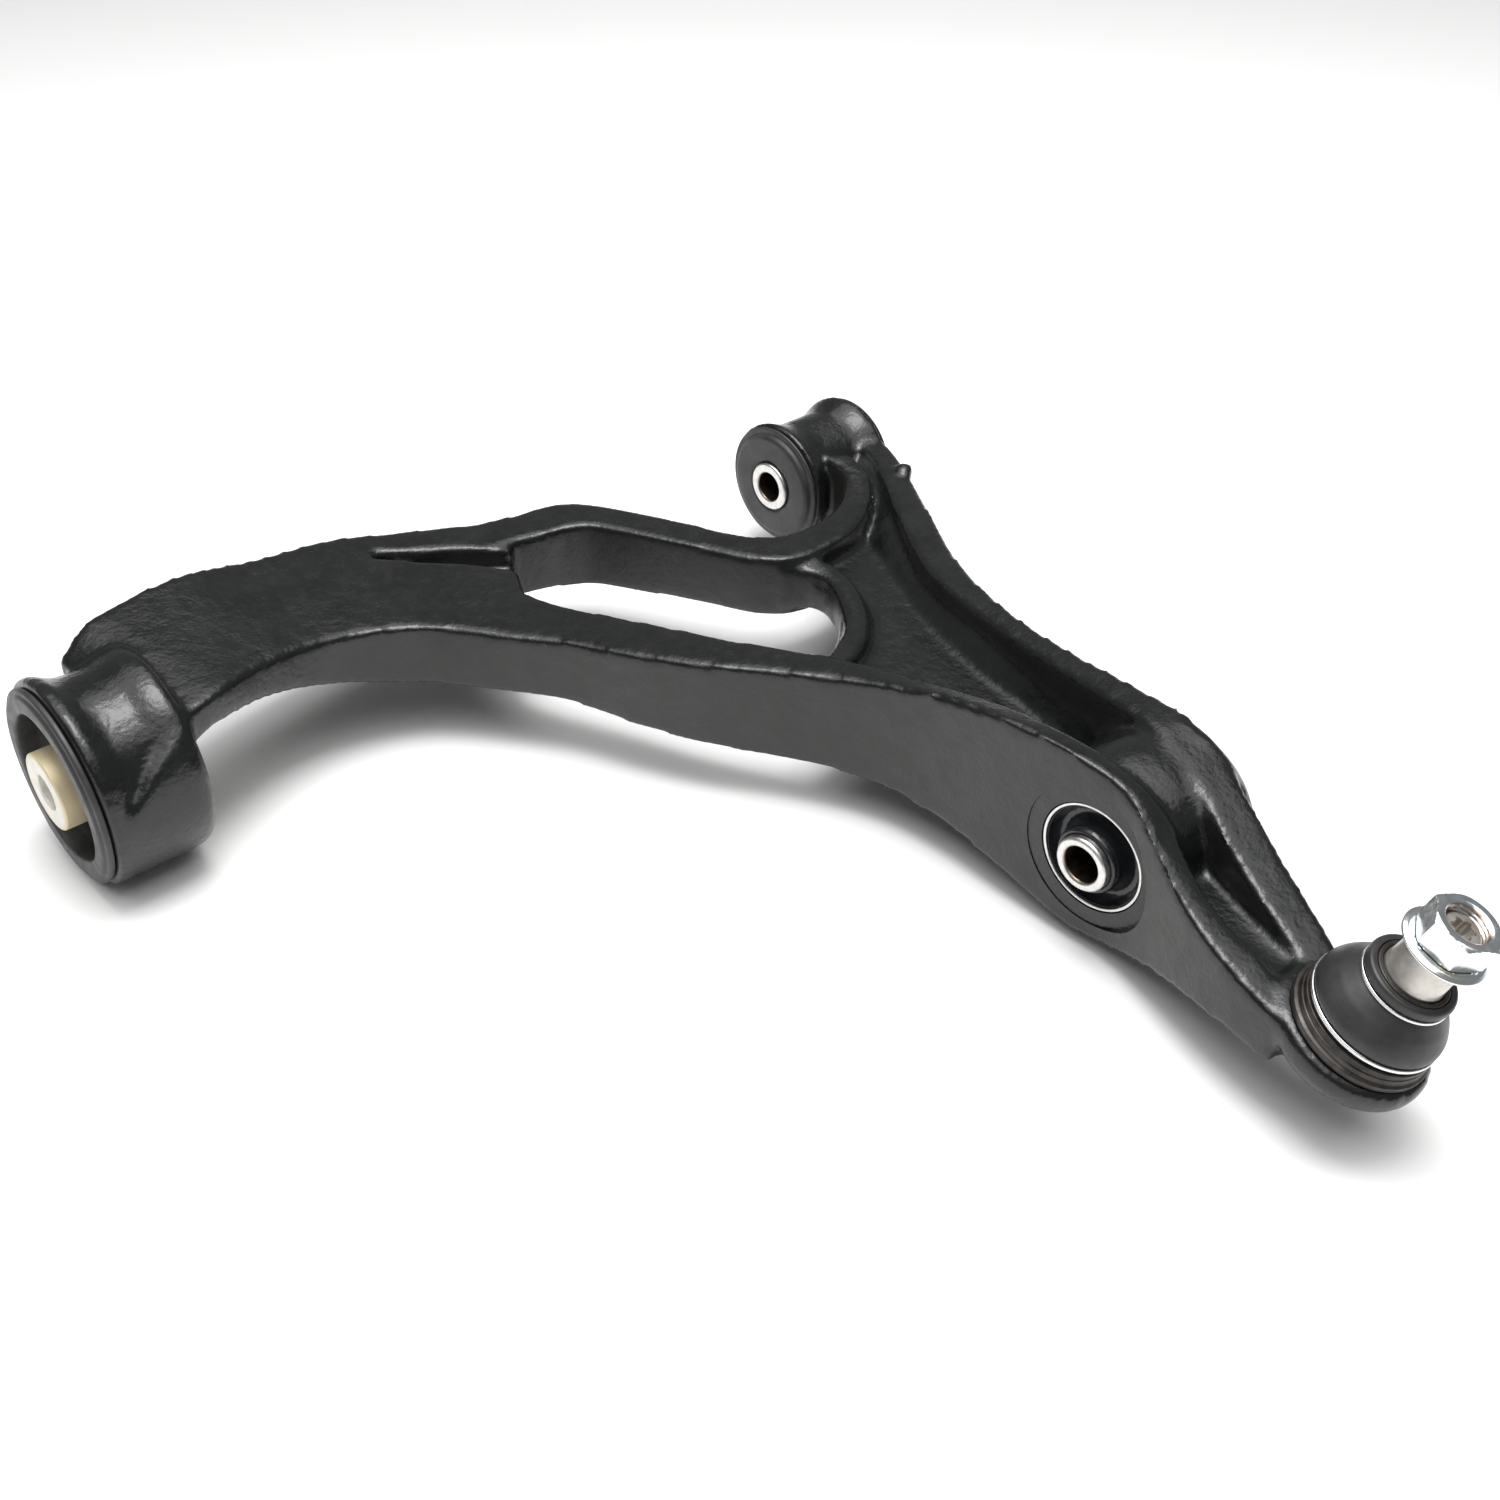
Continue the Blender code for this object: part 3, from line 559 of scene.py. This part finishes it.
def moulded_rubber():
    """Matte black rubber, a little grey where it has been handled."""
    mat, tree, shader = surface("moulded_rubber", (0.022, 0.022, 0.022), 0.5)
    tint = blend_colours(tree, spread(tree, speckle(tree, 70.0, 5.0), 0, 1),
                         (0.016, 0.016, 0.016), (0.034, 0.034, 0.033))
    tree.links.new(tint, shader.inputs["Base Color"])
    tree.links.new(spread(tree, speckle(tree, 150.0), 0.38, 0.56), shader.inputs["Roughness"])
    skin = bump(tree, speckle(tree, 1500.0), 0.25, 0.08 * MM)
    tree.links.new(bump(tree, speckle(tree, 260.0, 2.0), 0.25, 0.25 * MM, skin),
                   shader.inputs["Normal"])
    return mat


def from_axis(tree, point, direction):
    """Distance in metres of a surface point from an axis."""
    where = node(tree, "ShaderNodeTexCoord")
    offset = node(tree, "ShaderNodeVectorMath", operation="SUBTRACT")
    tree.links.new(where.outputs["Object"], offset.inputs[0])
    offset.inputs[1].default_value = point
    across = node(tree, "ShaderNodeVectorMath", operation="CROSS_PRODUCT")
    tree.links.new(offset.outputs["Vector"], across.inputs[0])
    across.inputs[1].default_value = Vector(direction).normalized()
    length = node(tree, "ShaderNodeVectorMath", operation="LENGTH")
    tree.links.new(across.outputs["Vector"], length.inputs[0])
    return length.outputs["Value"]


def tool_marks(tree, distance, pitch, strength, under=None):
    """Fine turned rings at a feed pitch, as bump."""
    rings = node(tree, "ShaderNodeMath", operation="MULTIPLY")
    tree.links.new(distance, rings.inputs[0])
    rings.inputs[1].default_value = tau / pitch
    wave = node(tree, "ShaderNodeMath", operation="SINE")
    tree.links.new(rings.outputs["Value"], wave.inputs[0])
    return bump(tree, wave.outputs["Value"], strength, 0.02 * MM, under)


def core_alloy():
    """Cream-white alloy, brushed smooth, yellower near its rim."""
    mat, tree, shader = surface("core_alloy", (0.74, 0.71, 0.63), 0.5, 0.35)
    away = from_axis(tree, PIVOT, (1, 0, 0))
    rim = spread(tree, away, 0, 1, 13.0 * MM, CORE_R * MM)
    body = blend_colours(tree, spread(tree, speckle(tree, 180.0, 4.0), 0, 1),
                         (0.70, 0.68, 0.62), (0.82, 0.80, 0.74))
    tree.links.new(blend_colours(tree, rim, body, (0.66, 0.56, 0.36)), shader.inputs["Base Color"])
    tree.links.new(tool_marks(tree, away, 0.5 * MM, 0.25), shader.inputs["Normal"])
    return mat


STEEL_TUBE = drawn_steel()
RUBBER = moulded_rubber()

shell = turned("large_bush_shell", eased(sleeve_outline(LARGE_SHELL_R, 31.9, 7.3, 46.0)), PIVOT_AXIS)
finish_piece(shell, STEEL_TUBE, "arm", ["hydro_shell"])


def large_rubber_form(r, z, angles):
    """Two kidney-shaped wells in the mouth, and a moulding nub on the lip."""
    wells = np.clip(np.abs(np.cos(angles)) * 1.8 - 0.7, 0, 1)
    in_mouth = (r > 19.5) & (r < 28.8) & (z > 8) & (z < 30)
    z = np.where(in_mouth, z + 9.0 * wells, z)
    turn = np.angle(np.exp(1j * (angles - radians(35))))
    nub = np.exp(-(turn * 40 / 3.2) ** 2) * np.exp(-((z - 4.6) / 2.4) ** 2)
    return np.where(r > 37, r + 1.6 * nub, r), z


LARGE_RUBBER = [
    (30.0, 5.6), (30.4, 3.6), (31.6, 3.0), (36.6, 3.0), (37.4, 3.4), (38.0, 4.2),
    (39.4, 4.4), (40.0, 5.2), (40.0, 6.7), (31.6, 6.7), (31.6, 45.6), (28.1, 45.6),
    (27.6, 38.0), (20.2, 37.0), (18.7, 45.6), (16.2, 45.6), (16.2, 10.4), (17.4, 10.4),
    (18.4, 11.4), (20.0, 15.0), (22.5, 17.0), (26.0, 17.0), (28.0, 15.5), (29.4, 11.0),
]
rubber = turned("large_bush_rubber", eased(LARGE_RUBBER, 0.9), PIVOT_AXIS, 144, large_rubber_form)
finish_piece(rubber, RUBBER, "arm", ["hydro_rubber"])

core = turned("large_bush_core", eased(sleeve_outline(CORE_R, BOLT_R, 0.0, 54.0, 0.6)), PIVOT_AXIS)
finish_piece(core, core_alloy(), "large_core", ["hydro_core"])

# ------------------------------------------------------------------ small bush
# The second pivot bush: rubber bonded between a pressed-in shell and a turned
# steel sleeve, with a flat rubber collar standing out of each end.


def turned_steel(name, point, bore_r):
    """Bright turned steel; the bore and its chamfer are dark brown."""
    mat, tree, shader = surface(name, (0.62, 0.61, 0.59), 0.32, 1.0)
    away = from_axis(tree, point, (1, 0, 0))
    face = spread(tree, away, 0, 1, (bore_r + 0.2) * MM, (bore_r + 0.9) * MM)
    bright = blend_colours(tree, spread(tree, speckle(tree, 500.0), 0, 1),
                           (0.55, 0.55, 0.54), (0.70, 0.69, 0.67))
    # The bore and its chamfer are painted dark brown; the rest is bright steel.
    tree.links.new(blend_colours(tree, face, (0.20, 0.15, 0.11), bright), shader.inputs["Base Color"])
    tree.links.new(spread(tree, speckle(tree, 300.0), 0.26, 0.42), shader.inputs["Roughness"])
    tree.links.new(tool_marks(tree, away, 0.35 * MM, 0.3), shader.inputs["Normal"])
    return mat


SMALL_RUBBER = [
    (12.3, 372.8), (13.4, 372.2), (14.2, 371.9), (24.0, 371.9), (25.4, 372.6), (26.2, 374.0),
    (26.6, 374.4), (28.6, 374.4), (29.2, 375.0), (29.2, 375.7), (20.1, 375.7),
    (20.1, 426.3), (29.2, 426.3), (29.2, 427.0), (28.6, 427.6), (26.6, 427.8),
    (26.2, 428.4), (25.4, 429.4), (24.0, 430.1), (12.3, 430.1),
]
shell = turned("small_bush_shell", eased(sleeve_outline(22.0, 20.4, 376.3, 425.7, 0.4)), PIVOT_AXIS)
finish_piece(shell, STEEL_TUBE, "arm", ["small_shell"])
rubber = turned("small_bush_rubber", eased(SMALL_RUBBER, 0.7), PIVOT_AXIS)
finish_piece(rubber, RUBBER, "arm", ["small_rubber"])
sleeve = turned("small_bush_sleeve", eased(sleeve_outline(12.0, BOLT_R, 370.7, 431.3, 0.7)), PIVOT_AXIS)
finish_piece(sleeve, turned_steel("sleeve_face", PIVOT, BOLT_R), "small_core",
             ["small_sleeve"])

# ------------------------------------------------------------------ shock bush
# The bush that the shock absorber's fork bolts to: a thin bright shell, smooth
# shiny rubber hollowed at both ends, and a steel sleeve standing proud.


def shiny_rubber():
    """Smooth wet-looking rubber with a bluish sheen and faint flow ripples."""
    mat, tree, shader = surface("shiny_rubber", (0.009, 0.010, 0.012), 0.18)
    tree.links.new(spread(tree, speckle(tree, 120.0), 0.12, 0.26), shader.inputs["Roughness"])
    ripples = bump(tree, speckle(tree, 110.0, 3.0), 0.6, 1.2 * MM)
    tree.links.new(bump(tree, speckle(tree, 900.0), 0.15, 0.1 * MM, ripples), shader.inputs["Normal"])
    return mat


SHOCK_RUBBER = [
    (11.2, 254.0), (12.4, 254.2), (13.2, 256.0), (13.6, 260.0), (15.2, 263.4), (17.6, 263.2),
    (19.0, 260.6), (19.9, 258.2), (20.1, 258.2), (20.1, 307.6), (18.5, 304.0), (15.6, 302.0),
    (13.6, 305.0), (12.8, 311.0), (11.2, 311.6),
]
shock_point = PIVOT + Vector((0, SHOCK_Y * MM, 0))
shell = turned("shock_bush_shell", eased(sleeve_outline(21.7, 20.4, 257.4, 308.4, 0.3), 0.2), SHOCK_AXIS)
finish_piece(shell, turned_steel("shell_edge", shock_point, 10.0), "arm",
             ["shock_shell"])
rubber = turned("shock_bush_rubber", eased(SHOCK_RUBBER, 1.0), SHOCK_AXIS)
finish_piece(rubber, shiny_rubber(), "arm", ["shock_rubber"])
sleeve = turned("shock_bush_sleeve", eased(sleeve_outline(10.9, BOLT_R, 251.0, 315.0, 0.9)), SHOCK_AXIS)
finish_piece(sleeve, turned_steel("shock_sleeve_face", shock_point, BOLT_R), "shock_core",
             ["shock_sleeve"])

# ------------------------------------------------------------------ ball joint housing
# A turned steel housing pressed into the cup of the arm, phosphated dark brown,
# with the plastic ball seat inside and a steel cap rolled in under it.
STUD_DIRECTION = Vector(STUD["axis"])


def dark_phosphate():
    """Brown-black phosphate coat with turned rings and pale rub marks."""
    mat, tree, shader = surface("dark_phosphate", (0.035, 0.030, 0.027), 0.36, 0.55)
    tint = blend_colours(tree, spread(tree, speckle(tree, 240.0, 5.0), 0, 1),
                         (0.020, 0.018, 0.017), (0.060, 0.052, 0.046))
    tree.links.new(tint, shader.inputs["Base Color"])
    tree.links.new(spread(tree, speckle(tree, 200.0), 0.26, 0.46), shader.inputs["Roughness"])
    rings = tool_marks(tree, from_axis(tree, SOCKET_RIM, STUD_DIRECTION), 0.6 * MM, 0.2)
    tree.links.new(rings, shader.inputs["Normal"])
    return mat


def seat_plastic():
    """Natural white bearing plastic, waxy and faintly mottled."""
    mat, tree, shader = surface("bearing_plastic", (0.78, 0.77, 0.72), 0.4)
    tint = blend_colours(tree, spread(tree, speckle(tree, 300.0), 0, 1),
                         (0.72, 0.71, 0.66), (0.84, 0.83, 0.79))
    tree.links.new(tint, shader.inputs["Base Color"])
    tree.links.new(bump(tree, speckle(tree, 1200.0), 0.2, 0.05 * MM), shader.inputs["Normal"])
    return mat


def arc(radius, start, end, steps, height):
    """Points (radius, height) of a circle round the axis point at height."""
    return [(radius * cos(a), height + radius * sin(a)) for a in np.linspace(start, end, steps)]


BALL_R, BALL_AT = 12.5, -5.0
PHOSPHATE = dark_phosphate()
HOUSING = [
    *arc(14.8, 0.0, -0.85, 12, BALL_AT), (9.2, -17.8), (10.4, -18.4), (12.0, -16.9),
    (21.7, -7.2), (21.7, -0.5), (24.2, -0.5), (24.2, 1.6), (23.4, 2.0), (23.0, 2.4),
    (22.9, 4.0), (22.4, 4.3), (22.4, 5.2), (22.8, 5.6), (22.6, 6.6), (21.4, 6.8), (21.4, 5.0),
    (17.4, 5.0), (17.4, 3.0), (14.8, 2.0),
]
housing = turned("ball_joint_housing", eased(HOUSING, 0.25), STUD_AXIS)
finish_piece(housing, PHOSPHATE, "arm", ["joint_housing"])
frame["nodes"]["closing_cap"].data.materials.clear()
frame["nodes"]["closing_cap"].data.materials.append(PHOSPHATE)
SEAT = [
    *arc(14.5, -0.95, 0.0, 12, BALL_AT), (14.5, 1.4), (12.0, 1.4),
    *arc(12.8, 0.45, -0.95, 16, BALL_AT),
]
seat = turned("ball_seat_liner", SEAT, STUD_AXIS)
finish_piece(seat, seat_plastic(), "arm", ["ball_seat"])

# ------------------------------------------------------------------ ball stud
# A forged and ground stud: the ball turns in the seat, the cone pulls into the
# wheel carrier, and the threaded end has a six-lobed key hole in its tip.
THREAD_PITCH = 1.5
STUD_TIP = 53.8
KEY_R, KEY_DEPTH, LOBE_DEPTH = 3.7, 5.0, 0.62


def ground_steel():
    """Warm grey ground steel with a thin film of oil."""
    mat, tree, shader = surface("ground_steel", (0.56, 0.53, 0.49), 0.34, 0.9)
    tint = blend_colours(tree, spread(tree, speckle(tree, 160.0, 5.0), 0, 1),
                         (0.50, 0.47, 0.43), (0.64, 0.61, 0.57))
    tree.links.new(tint, shader.inputs["Base Color"])
    tree.links.new(spread(tree, speckle(tree, 420.0), 0.28, 0.44), shader.inputs["Roughness"])
    tree.links.new(bump(tree, speckle(tree, 1400.0), 0.2, 0.06 * MM), shader.inputs["Normal"])
    return mat


def stud_form(r, z, angles):
    """Cut the thread into the end of the stud."""
    on_thread = (r > 5.9) & (r < 6.85) & (z > 44.2) & (z < STUD_TIP - 1.2)
    phase = (z / THREAD_PITCH - angles / tau) % 1.0
    ridge = np.abs(phase * 2 - 1)
    return np.where(on_thread, r - 0.75 * (1 - ridge), r), z


thread_rows = [(6.8, z) for z in np.arange(44.0, STUD_TIP - 1.0, THREAD_PITCH / 8)]
STUD_OUTLINE = [
    *arc(BALL_R, -pi / 2, 0.98, 40, BALL_AT)[1:], (6.9, 6.0), (6.9, 7.8), (7.4, 11.0), (8.6, 16.0),
    (9.7, 20.0), (10.3, 22.5), (10.3, 29.8), (10.2, 30.4), (9.95, 30.8), (9.3, 41.8), (8.9, 42.8),
    (8.2, 43.4), *thread_rows, (6.7, STUD_TIP - 1.0), (5.8, STUD_TIP), (0.0, STUD_TIP),
    (0.0, BALL_AT - BALL_R),
]
stud = turned("ball_stud_pin", STUD_OUTLINE, STUD_AXIS, 96, stud_form)


def lobes(r, z, angles):
    """Six round lobes on the wall of the key hole; its axis stays where it is."""
    return np.where(r > 1, r + LOBE_DEPTH * np.cos(6 * angles), r), z


KEY_OUTLINE = [
    (0, STUD_TIP + 2), (KEY_R, STUD_TIP + 2), (KEY_R, STUD_TIP - KEY_DEPTH),
    (0, STUD_TIP - KEY_DEPTH),
]
key_hole = turned("key_hole", KEY_OUTLINE, STUD_AXIS, 96, lobes)
hole_group = gather("key_holes", [key_hole])
add_boolean(stud, hole_group, "DIFFERENCE")
settle(stud, hole_group)
finish_piece(stud, ground_steel(), "stud", ["ball_stud"])

# ------------------------------------------------------------------ dust boot
# A moulded rubber boot over the ball joint. A wound wire clamp holds its skirt on
# the housing, a smaller one holds its neck on a steel collar that turns with the stud.
BOOT_MIDDLE = 16.4
SKIRT = [
    (20.4, BOOT_MIDDLE), (21.3, 14.8), (21.9, 13.4), (22.2, 12.0), (22.2, 10.8), (21.9, 10.0),
    (21.6, 9.4), (21.6, 8.2), (22.0, 7.7), (21.8, 7.1), (19.4, 7.1), (19.4, 10.4),
    (19.8, 11.6), (19.6, 13.4), (18.9, 15.0), (18.1, BOOT_MIDDLE),
]
CROWN = [
    (18.1, BOOT_MIDDLE), (16.4, 18.6), (14.0, 21.6), (12.6, 24.0), (12.6, 29.4), (14.2, 29.6),
    (14.9, 29.0), (15.2, 27.8), (15.1, 26.4), (14.5, 25.5), (14.3, 24.6), (14.5, 23.7),
    (15.8, 22.2), (17.2, 20.6), (18.6, 19.0), (19.6, 17.6), (20.4, BOOT_MIDDLE),
]


def boot_rubber():
    """Matte boot rubber with soft grey bloom and a fine moulded skin."""
    mat, tree, shader = surface("boot_rubber", (0.018, 0.018, 0.018), 0.46)
    tint = blend_colours(tree, spread(tree, speckle(tree, 110.0, 5.0), 0, 1),
                         (0.013, 0.013, 0.013), (0.028, 0.028, 0.028))
    tree.links.new(tint, shader.inputs["Base Color"])
    tree.links.new(spread(tree, speckle(tree, 180.0), 0.36, 0.52), shader.inputs["Roughness"])
    tree.links.new(bump(tree, speckle(tree, 1300.0), 0.2, 0.06 * MM), shader.inputs["Normal"])
    return mat


def finely(outline, first, last, steps=6):
    """Replace part of an outline by a smooth curve through its points."""
    curve = [tuple(point) for point in smooth_path(outline[first:last], steps)]
    return outline[:first] + curve + outline[last:]


BOOT = boot_rubber()
skirt = turned("boot_skirt", finely(SKIRT, 0, 6), STUD_AXIS)
crown = turned("boot_crown", finely(CROWN, 5, 17), STUD_AXIS)
finish_piece(skirt, BOOT, None, ["dust_boot"], 50)
finish_piece(crown, BOOT, None, (), 50)
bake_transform(skirt)
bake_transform(crown)


def spring_wire():
    """Bright spring wire."""
    mat, tree, shader = surface("spring_wire", (0.80, 0.80, 0.80), 0.2, 1.0)
    tree.links.new(spread(tree, speckle(tree, 700.0), 0.15, 0.3), shader.inputs["Roughness"])
    tree.links.new(bump(tree, speckle(tree, 1500.0), 0.15, 0.05 * MM), shader.inputs["Normal"])
    return mat


def wound_ring_tree(mat):
    """Geometry Nodes: round wire wound for a little more than a turn."""
    tree = bpy.data.node_groups.new("wound_ring", "GeometryNodeTree")
    sockets = {}
    for name, value in (("Ring Radius", 0.02), ("Turns", 1.2), ("Rise", 0.001), ("Wire Radius", 0.0004)):
        made = tree.interface.new_socket(name, in_out="INPUT", socket_type="NodeSocketFloat")
        made.default_value = value
        sockets[name] = made.identifier
    tree.interface.new_socket("Geometry", in_out="OUTPUT", socket_type="NodeSocketGeometry")
    inputs = tree.nodes.new("NodeGroupInput")
    outputs = tree.nodes.new("NodeGroupOutput")
    coil = tree.nodes.new("GeometryNodeCurveSpiral")
    coil.inputs["Resolution"].default_value = 96
    wire = tree.nodes.new("GeometryNodeCurvePrimitiveCircle")
    wire.inputs["Resolution"].default_value = 14
    sweep = tree.nodes.new("GeometryNodeCurveToMesh")
    sweep.inputs["Fill Caps"].default_value = True
    realize = tree.nodes.new("GeometryNodeRealizeInstances")
    paint = tree.nodes.new("GeometryNodeSetMaterial")
    paint.inputs["Material"].default_value = mat
    link = tree.links.new
    link(inputs.outputs["Ring Radius"], coil.inputs["Start Radius"])
    link(inputs.outputs["Ring Radius"], coil.inputs["End Radius"])
    link(inputs.outputs["Turns"], coil.inputs["Rotations"])
    link(inputs.outputs["Rise"], coil.inputs["Height"])
    link(inputs.outputs["Wire Radius"], wire.inputs["Radius"])
    link(coil.outputs["Curve"], sweep.inputs["Curve"])
    link(wire.outputs["Curve"], sweep.inputs["Profile Curve"])
    link(sweep.outputs["Mesh"], realize.inputs["Geometry"])
    link(realize.outputs["Geometry"], paint.inputs["Geometry"])
    link(paint.outputs["Geometry"], outputs.inputs["Geometry"])
    return tree, sockets


def wound_ring(name, tree, sockets, height, **sizes):
    """Run the tree, then place its mesh on the stud's axis."""
    obj = bpy.data.objects.new(name, bpy.data.meshes.new(name))
    bpy.context.scene.collection.objects.link(obj)
    mod = obj.modifiers.new("wind", "NODES")
    mod.node_group = tree
    for key, value in sizes.items():
        mod[sockets[key.replace("_", " ").title()]] = value
    settle(obj)
    obj.data.transform(STUD_AXIS @ Matrix.Translation((0, 0, height)) @ Matrix.Scale(1 / MM, 4))
    return obj


WIRE = spring_wire()
ring_tree, ring_sockets = wound_ring_tree(WIRE)
skirt_ring = wound_ring("skirt_clamp", ring_tree, ring_sockets, 8.35, ring_radius=22.15 * MM,
                        turns=1.9, rise=1.0 * MM, wire_radius=0.5 * MM)
finish_piece(skirt_ring, WIRE, "arm", ["boot_lower_clamp"])
neck_ring = wound_ring("neck_clamp", ring_tree, ring_sockets, 24.2, ring_radius=14.75 * MM,
                       turns=1.9, rise=0.8 * MM, wire_radius=0.42 * MM)
finish_piece(neck_ring, WIRE, "boot_neck", ["boot_upper_clamp"])
collar = turned("neck_collar", eased(sleeve_outline(12.3, 10.6, 24.4, 29.8, 0.4), 0.3), STUD_AXIS)
finish_piece(collar, PHOSPHATE, "boot_neck", ["boot_neck_collar"])

# ------------------------------------------------------------------ lock nut and washer
# A 21 mm hexagon nut on its loose conical washer, both bright zinc with a blue and
# straw passivation tint; the nut's thread shows bare and coppery.
NUT_BOTTOM, NUT_TOP = 46.4, 57.0
NUT_FLAT_R = 10.5
NUT_BORE_R = 7.1


def bright_zinc(name, threaded=False):
    """Zinc plate whose thin film tints it blue, straw and violet in patches."""
    mat, tree, shader = surface(name, (0.80, 0.82, 0.86), 0.2, 1.0)
    cool = blend_colours(tree, spread(tree, speckle(tree, 90.0, 2.0), 0, 1),
                         (0.66, 0.78, 0.86), (0.88, 0.86, 0.78))
    tint = blend_colours(tree, spread(tree, speckle(tree, 150.0, 2.0), 0, 0.6),
                         cool, (0.86, 0.86, 0.90))
    if threaded:
        away = from_axis(tree, SOCKET_RIM, STUD_DIRECTION)
        outside = spread(tree, away, 0, 1, (NUT_BORE_R + 0.15) * MM, (NUT_BORE_R + 0.5) * MM)
        tint = blend_colours(tree, outside, (0.50, 0.36, 0.28), tint)
    tree.links.new(tint, shader.inputs["Base Color"])
    tree.links.new(spread(tree, speckle(tree, 350.0), 0.14, 0.28), shader.inputs["Roughness"])
    tree.links.new(bump(tree, speckle(tree, 500.0, 3.0), 0.2, 0.15 * MM), shader.inputs["Normal"])
    return mat


def nut_form(r, z, angles):
    """Hexagon outside with chamfered corners, thread inside."""
    side = (angles + pi / 6) % (pi / 3) - pi / 6
    hexagon = NUT_FLAT_R / np.cos(side)
    crown = 10.4 + (NUT_TOP - z) * 1.9
    foot = 10.9 + (z - NUT_BOTTOM) * 1.9
    outside = np.minimum(np.minimum(hexagon, crown), foot)
    phase = (z / THREAD_PITCH - angles / tau) % 1.0
    inside = r - 0.02 + 0.7 * (1 - np.abs(phase * 2 - 1)) * ((z > NUT_BOTTOM + 0.9) & (z < NUT_TOP - 0.9))
    return np.where(r > 9.9, np.minimum(r, outside), np.where(r < 7.3, inside, r)), z


outer_rows = [(12.4, z) for z in np.linspace(NUT_BOTTOM, NUT_TOP, 40)]
inner_rows = [(NUT_BORE_R, z) for z in np.arange(NUT_TOP - 0.8, NUT_BOTTOM + 0.7, -THREAD_PITCH / 8)]
NUT = [
    (7.9, NUT_BOTTOM), *outer_rows, (9.6, NUT_TOP), (8.3, NUT_TOP), (7.9, NUT_TOP - 0.1),
    *inner_rows, (NUT_BORE_R, NUT_BOTTOM + 0.6),
]
nut = turned("lock_nut_hex", NUT, STUD_AXIS, 144, nut_form)
finish_piece(nut, bright_zinc("zinc_nut", True), "nut", ["lock_nut"], 28)
WASHER = [
    (7.1, 44.1), (13.6, 44.1), (14.3, 44.5), (14.4, 44.9), (14.2, 45.3), (12.9, 46.1), (7.1, 46.1),
]
washer = turned("cone_washer", eased(WASHER, 0.3), STUD_AXIS)
finish_piece(washer, bright_zinc("zinc_washer"), "washer", ["nut_washer"])

# ------------------------------------------------------------------ studio
# A pale floor under a broad ceiling light, with a smaller soft light nearer the arm.


def pale_floor():
    mat, tree, shader = surface("pale_floor", (0.92, 0.92, 0.915), 0.85)
    tree.links.new(bump(tree, speckle(tree, 300.0), 0.05, 0.2 * MM), shader.inputs["Normal"])
    return mat


bm = bmesh.new()
bmesh.ops.create_circle(bm, cap_ends=True, segments=64, radius=6.0)
floor = mesh_object("floor", bm, Matrix.Identity(4))
floor.data.materials.append(pale_floor())

world = bpy.data.worlds.new("studio")
bpy.context.scene.world = world
world.use_nodes = True
world.node_tree.nodes["Background"].inputs["Color"].default_value = (1.0, 1.0, 1.0, 1.0)
world.node_tree.nodes["Background"].inputs["Strength"].default_value = 0.22


def soft_light(name, place, aim, size, power):
    lamp = bpy.data.lights.new(name, "AREA")
    lamp.shape = "SQUARE"
    lamp.size = size
    lamp.energy = power
    obj = bpy.data.objects.new(name, lamp)
    obj.location = place
    obj.rotation_euler = (Vector(aim) - Vector(place)).to_track_quat("-Z", "Y").to_euler()
    bpy.context.scene.collection.objects.link(obj)


soft_light("ceiling", (0.0, 0.0, 2.5), (0.0, 0.0, 0.0), 4.0, 95.0)
soft_light("overhead", (0.0, 0.05, 1.3), (0.0, 0.0, 0.0), 0.7, 14.0)

# The camera stands beyond the large bush, on the ball joint's side, and looks down.
CAMERA_FROM_PIVOT = Vector((-136.5, -537.7, 372.8)) * MM
CAMERA_HEADING = radians(47.374)
CAMERA_DIP = radians(35.877)
camera = bpy.data.objects.new("camera", bpy.data.cameras.new("camera"))
camera.data.lens = 39.36
camera.data.sensor_width = 36.0
camera.data.clip_start = 0.01
camera.location = PIVOT + CAMERA_FROM_PIVOT
camera.rotation_euler = (pi / 2 - CAMERA_DIP, 0.0, CAMERA_HEADING - pi / 2)
bpy.context.scene.collection.objects.link(camera)
bpy.context.scene.camera = camera
bpy.context.scene.view_settings.view_transform = "Standard"
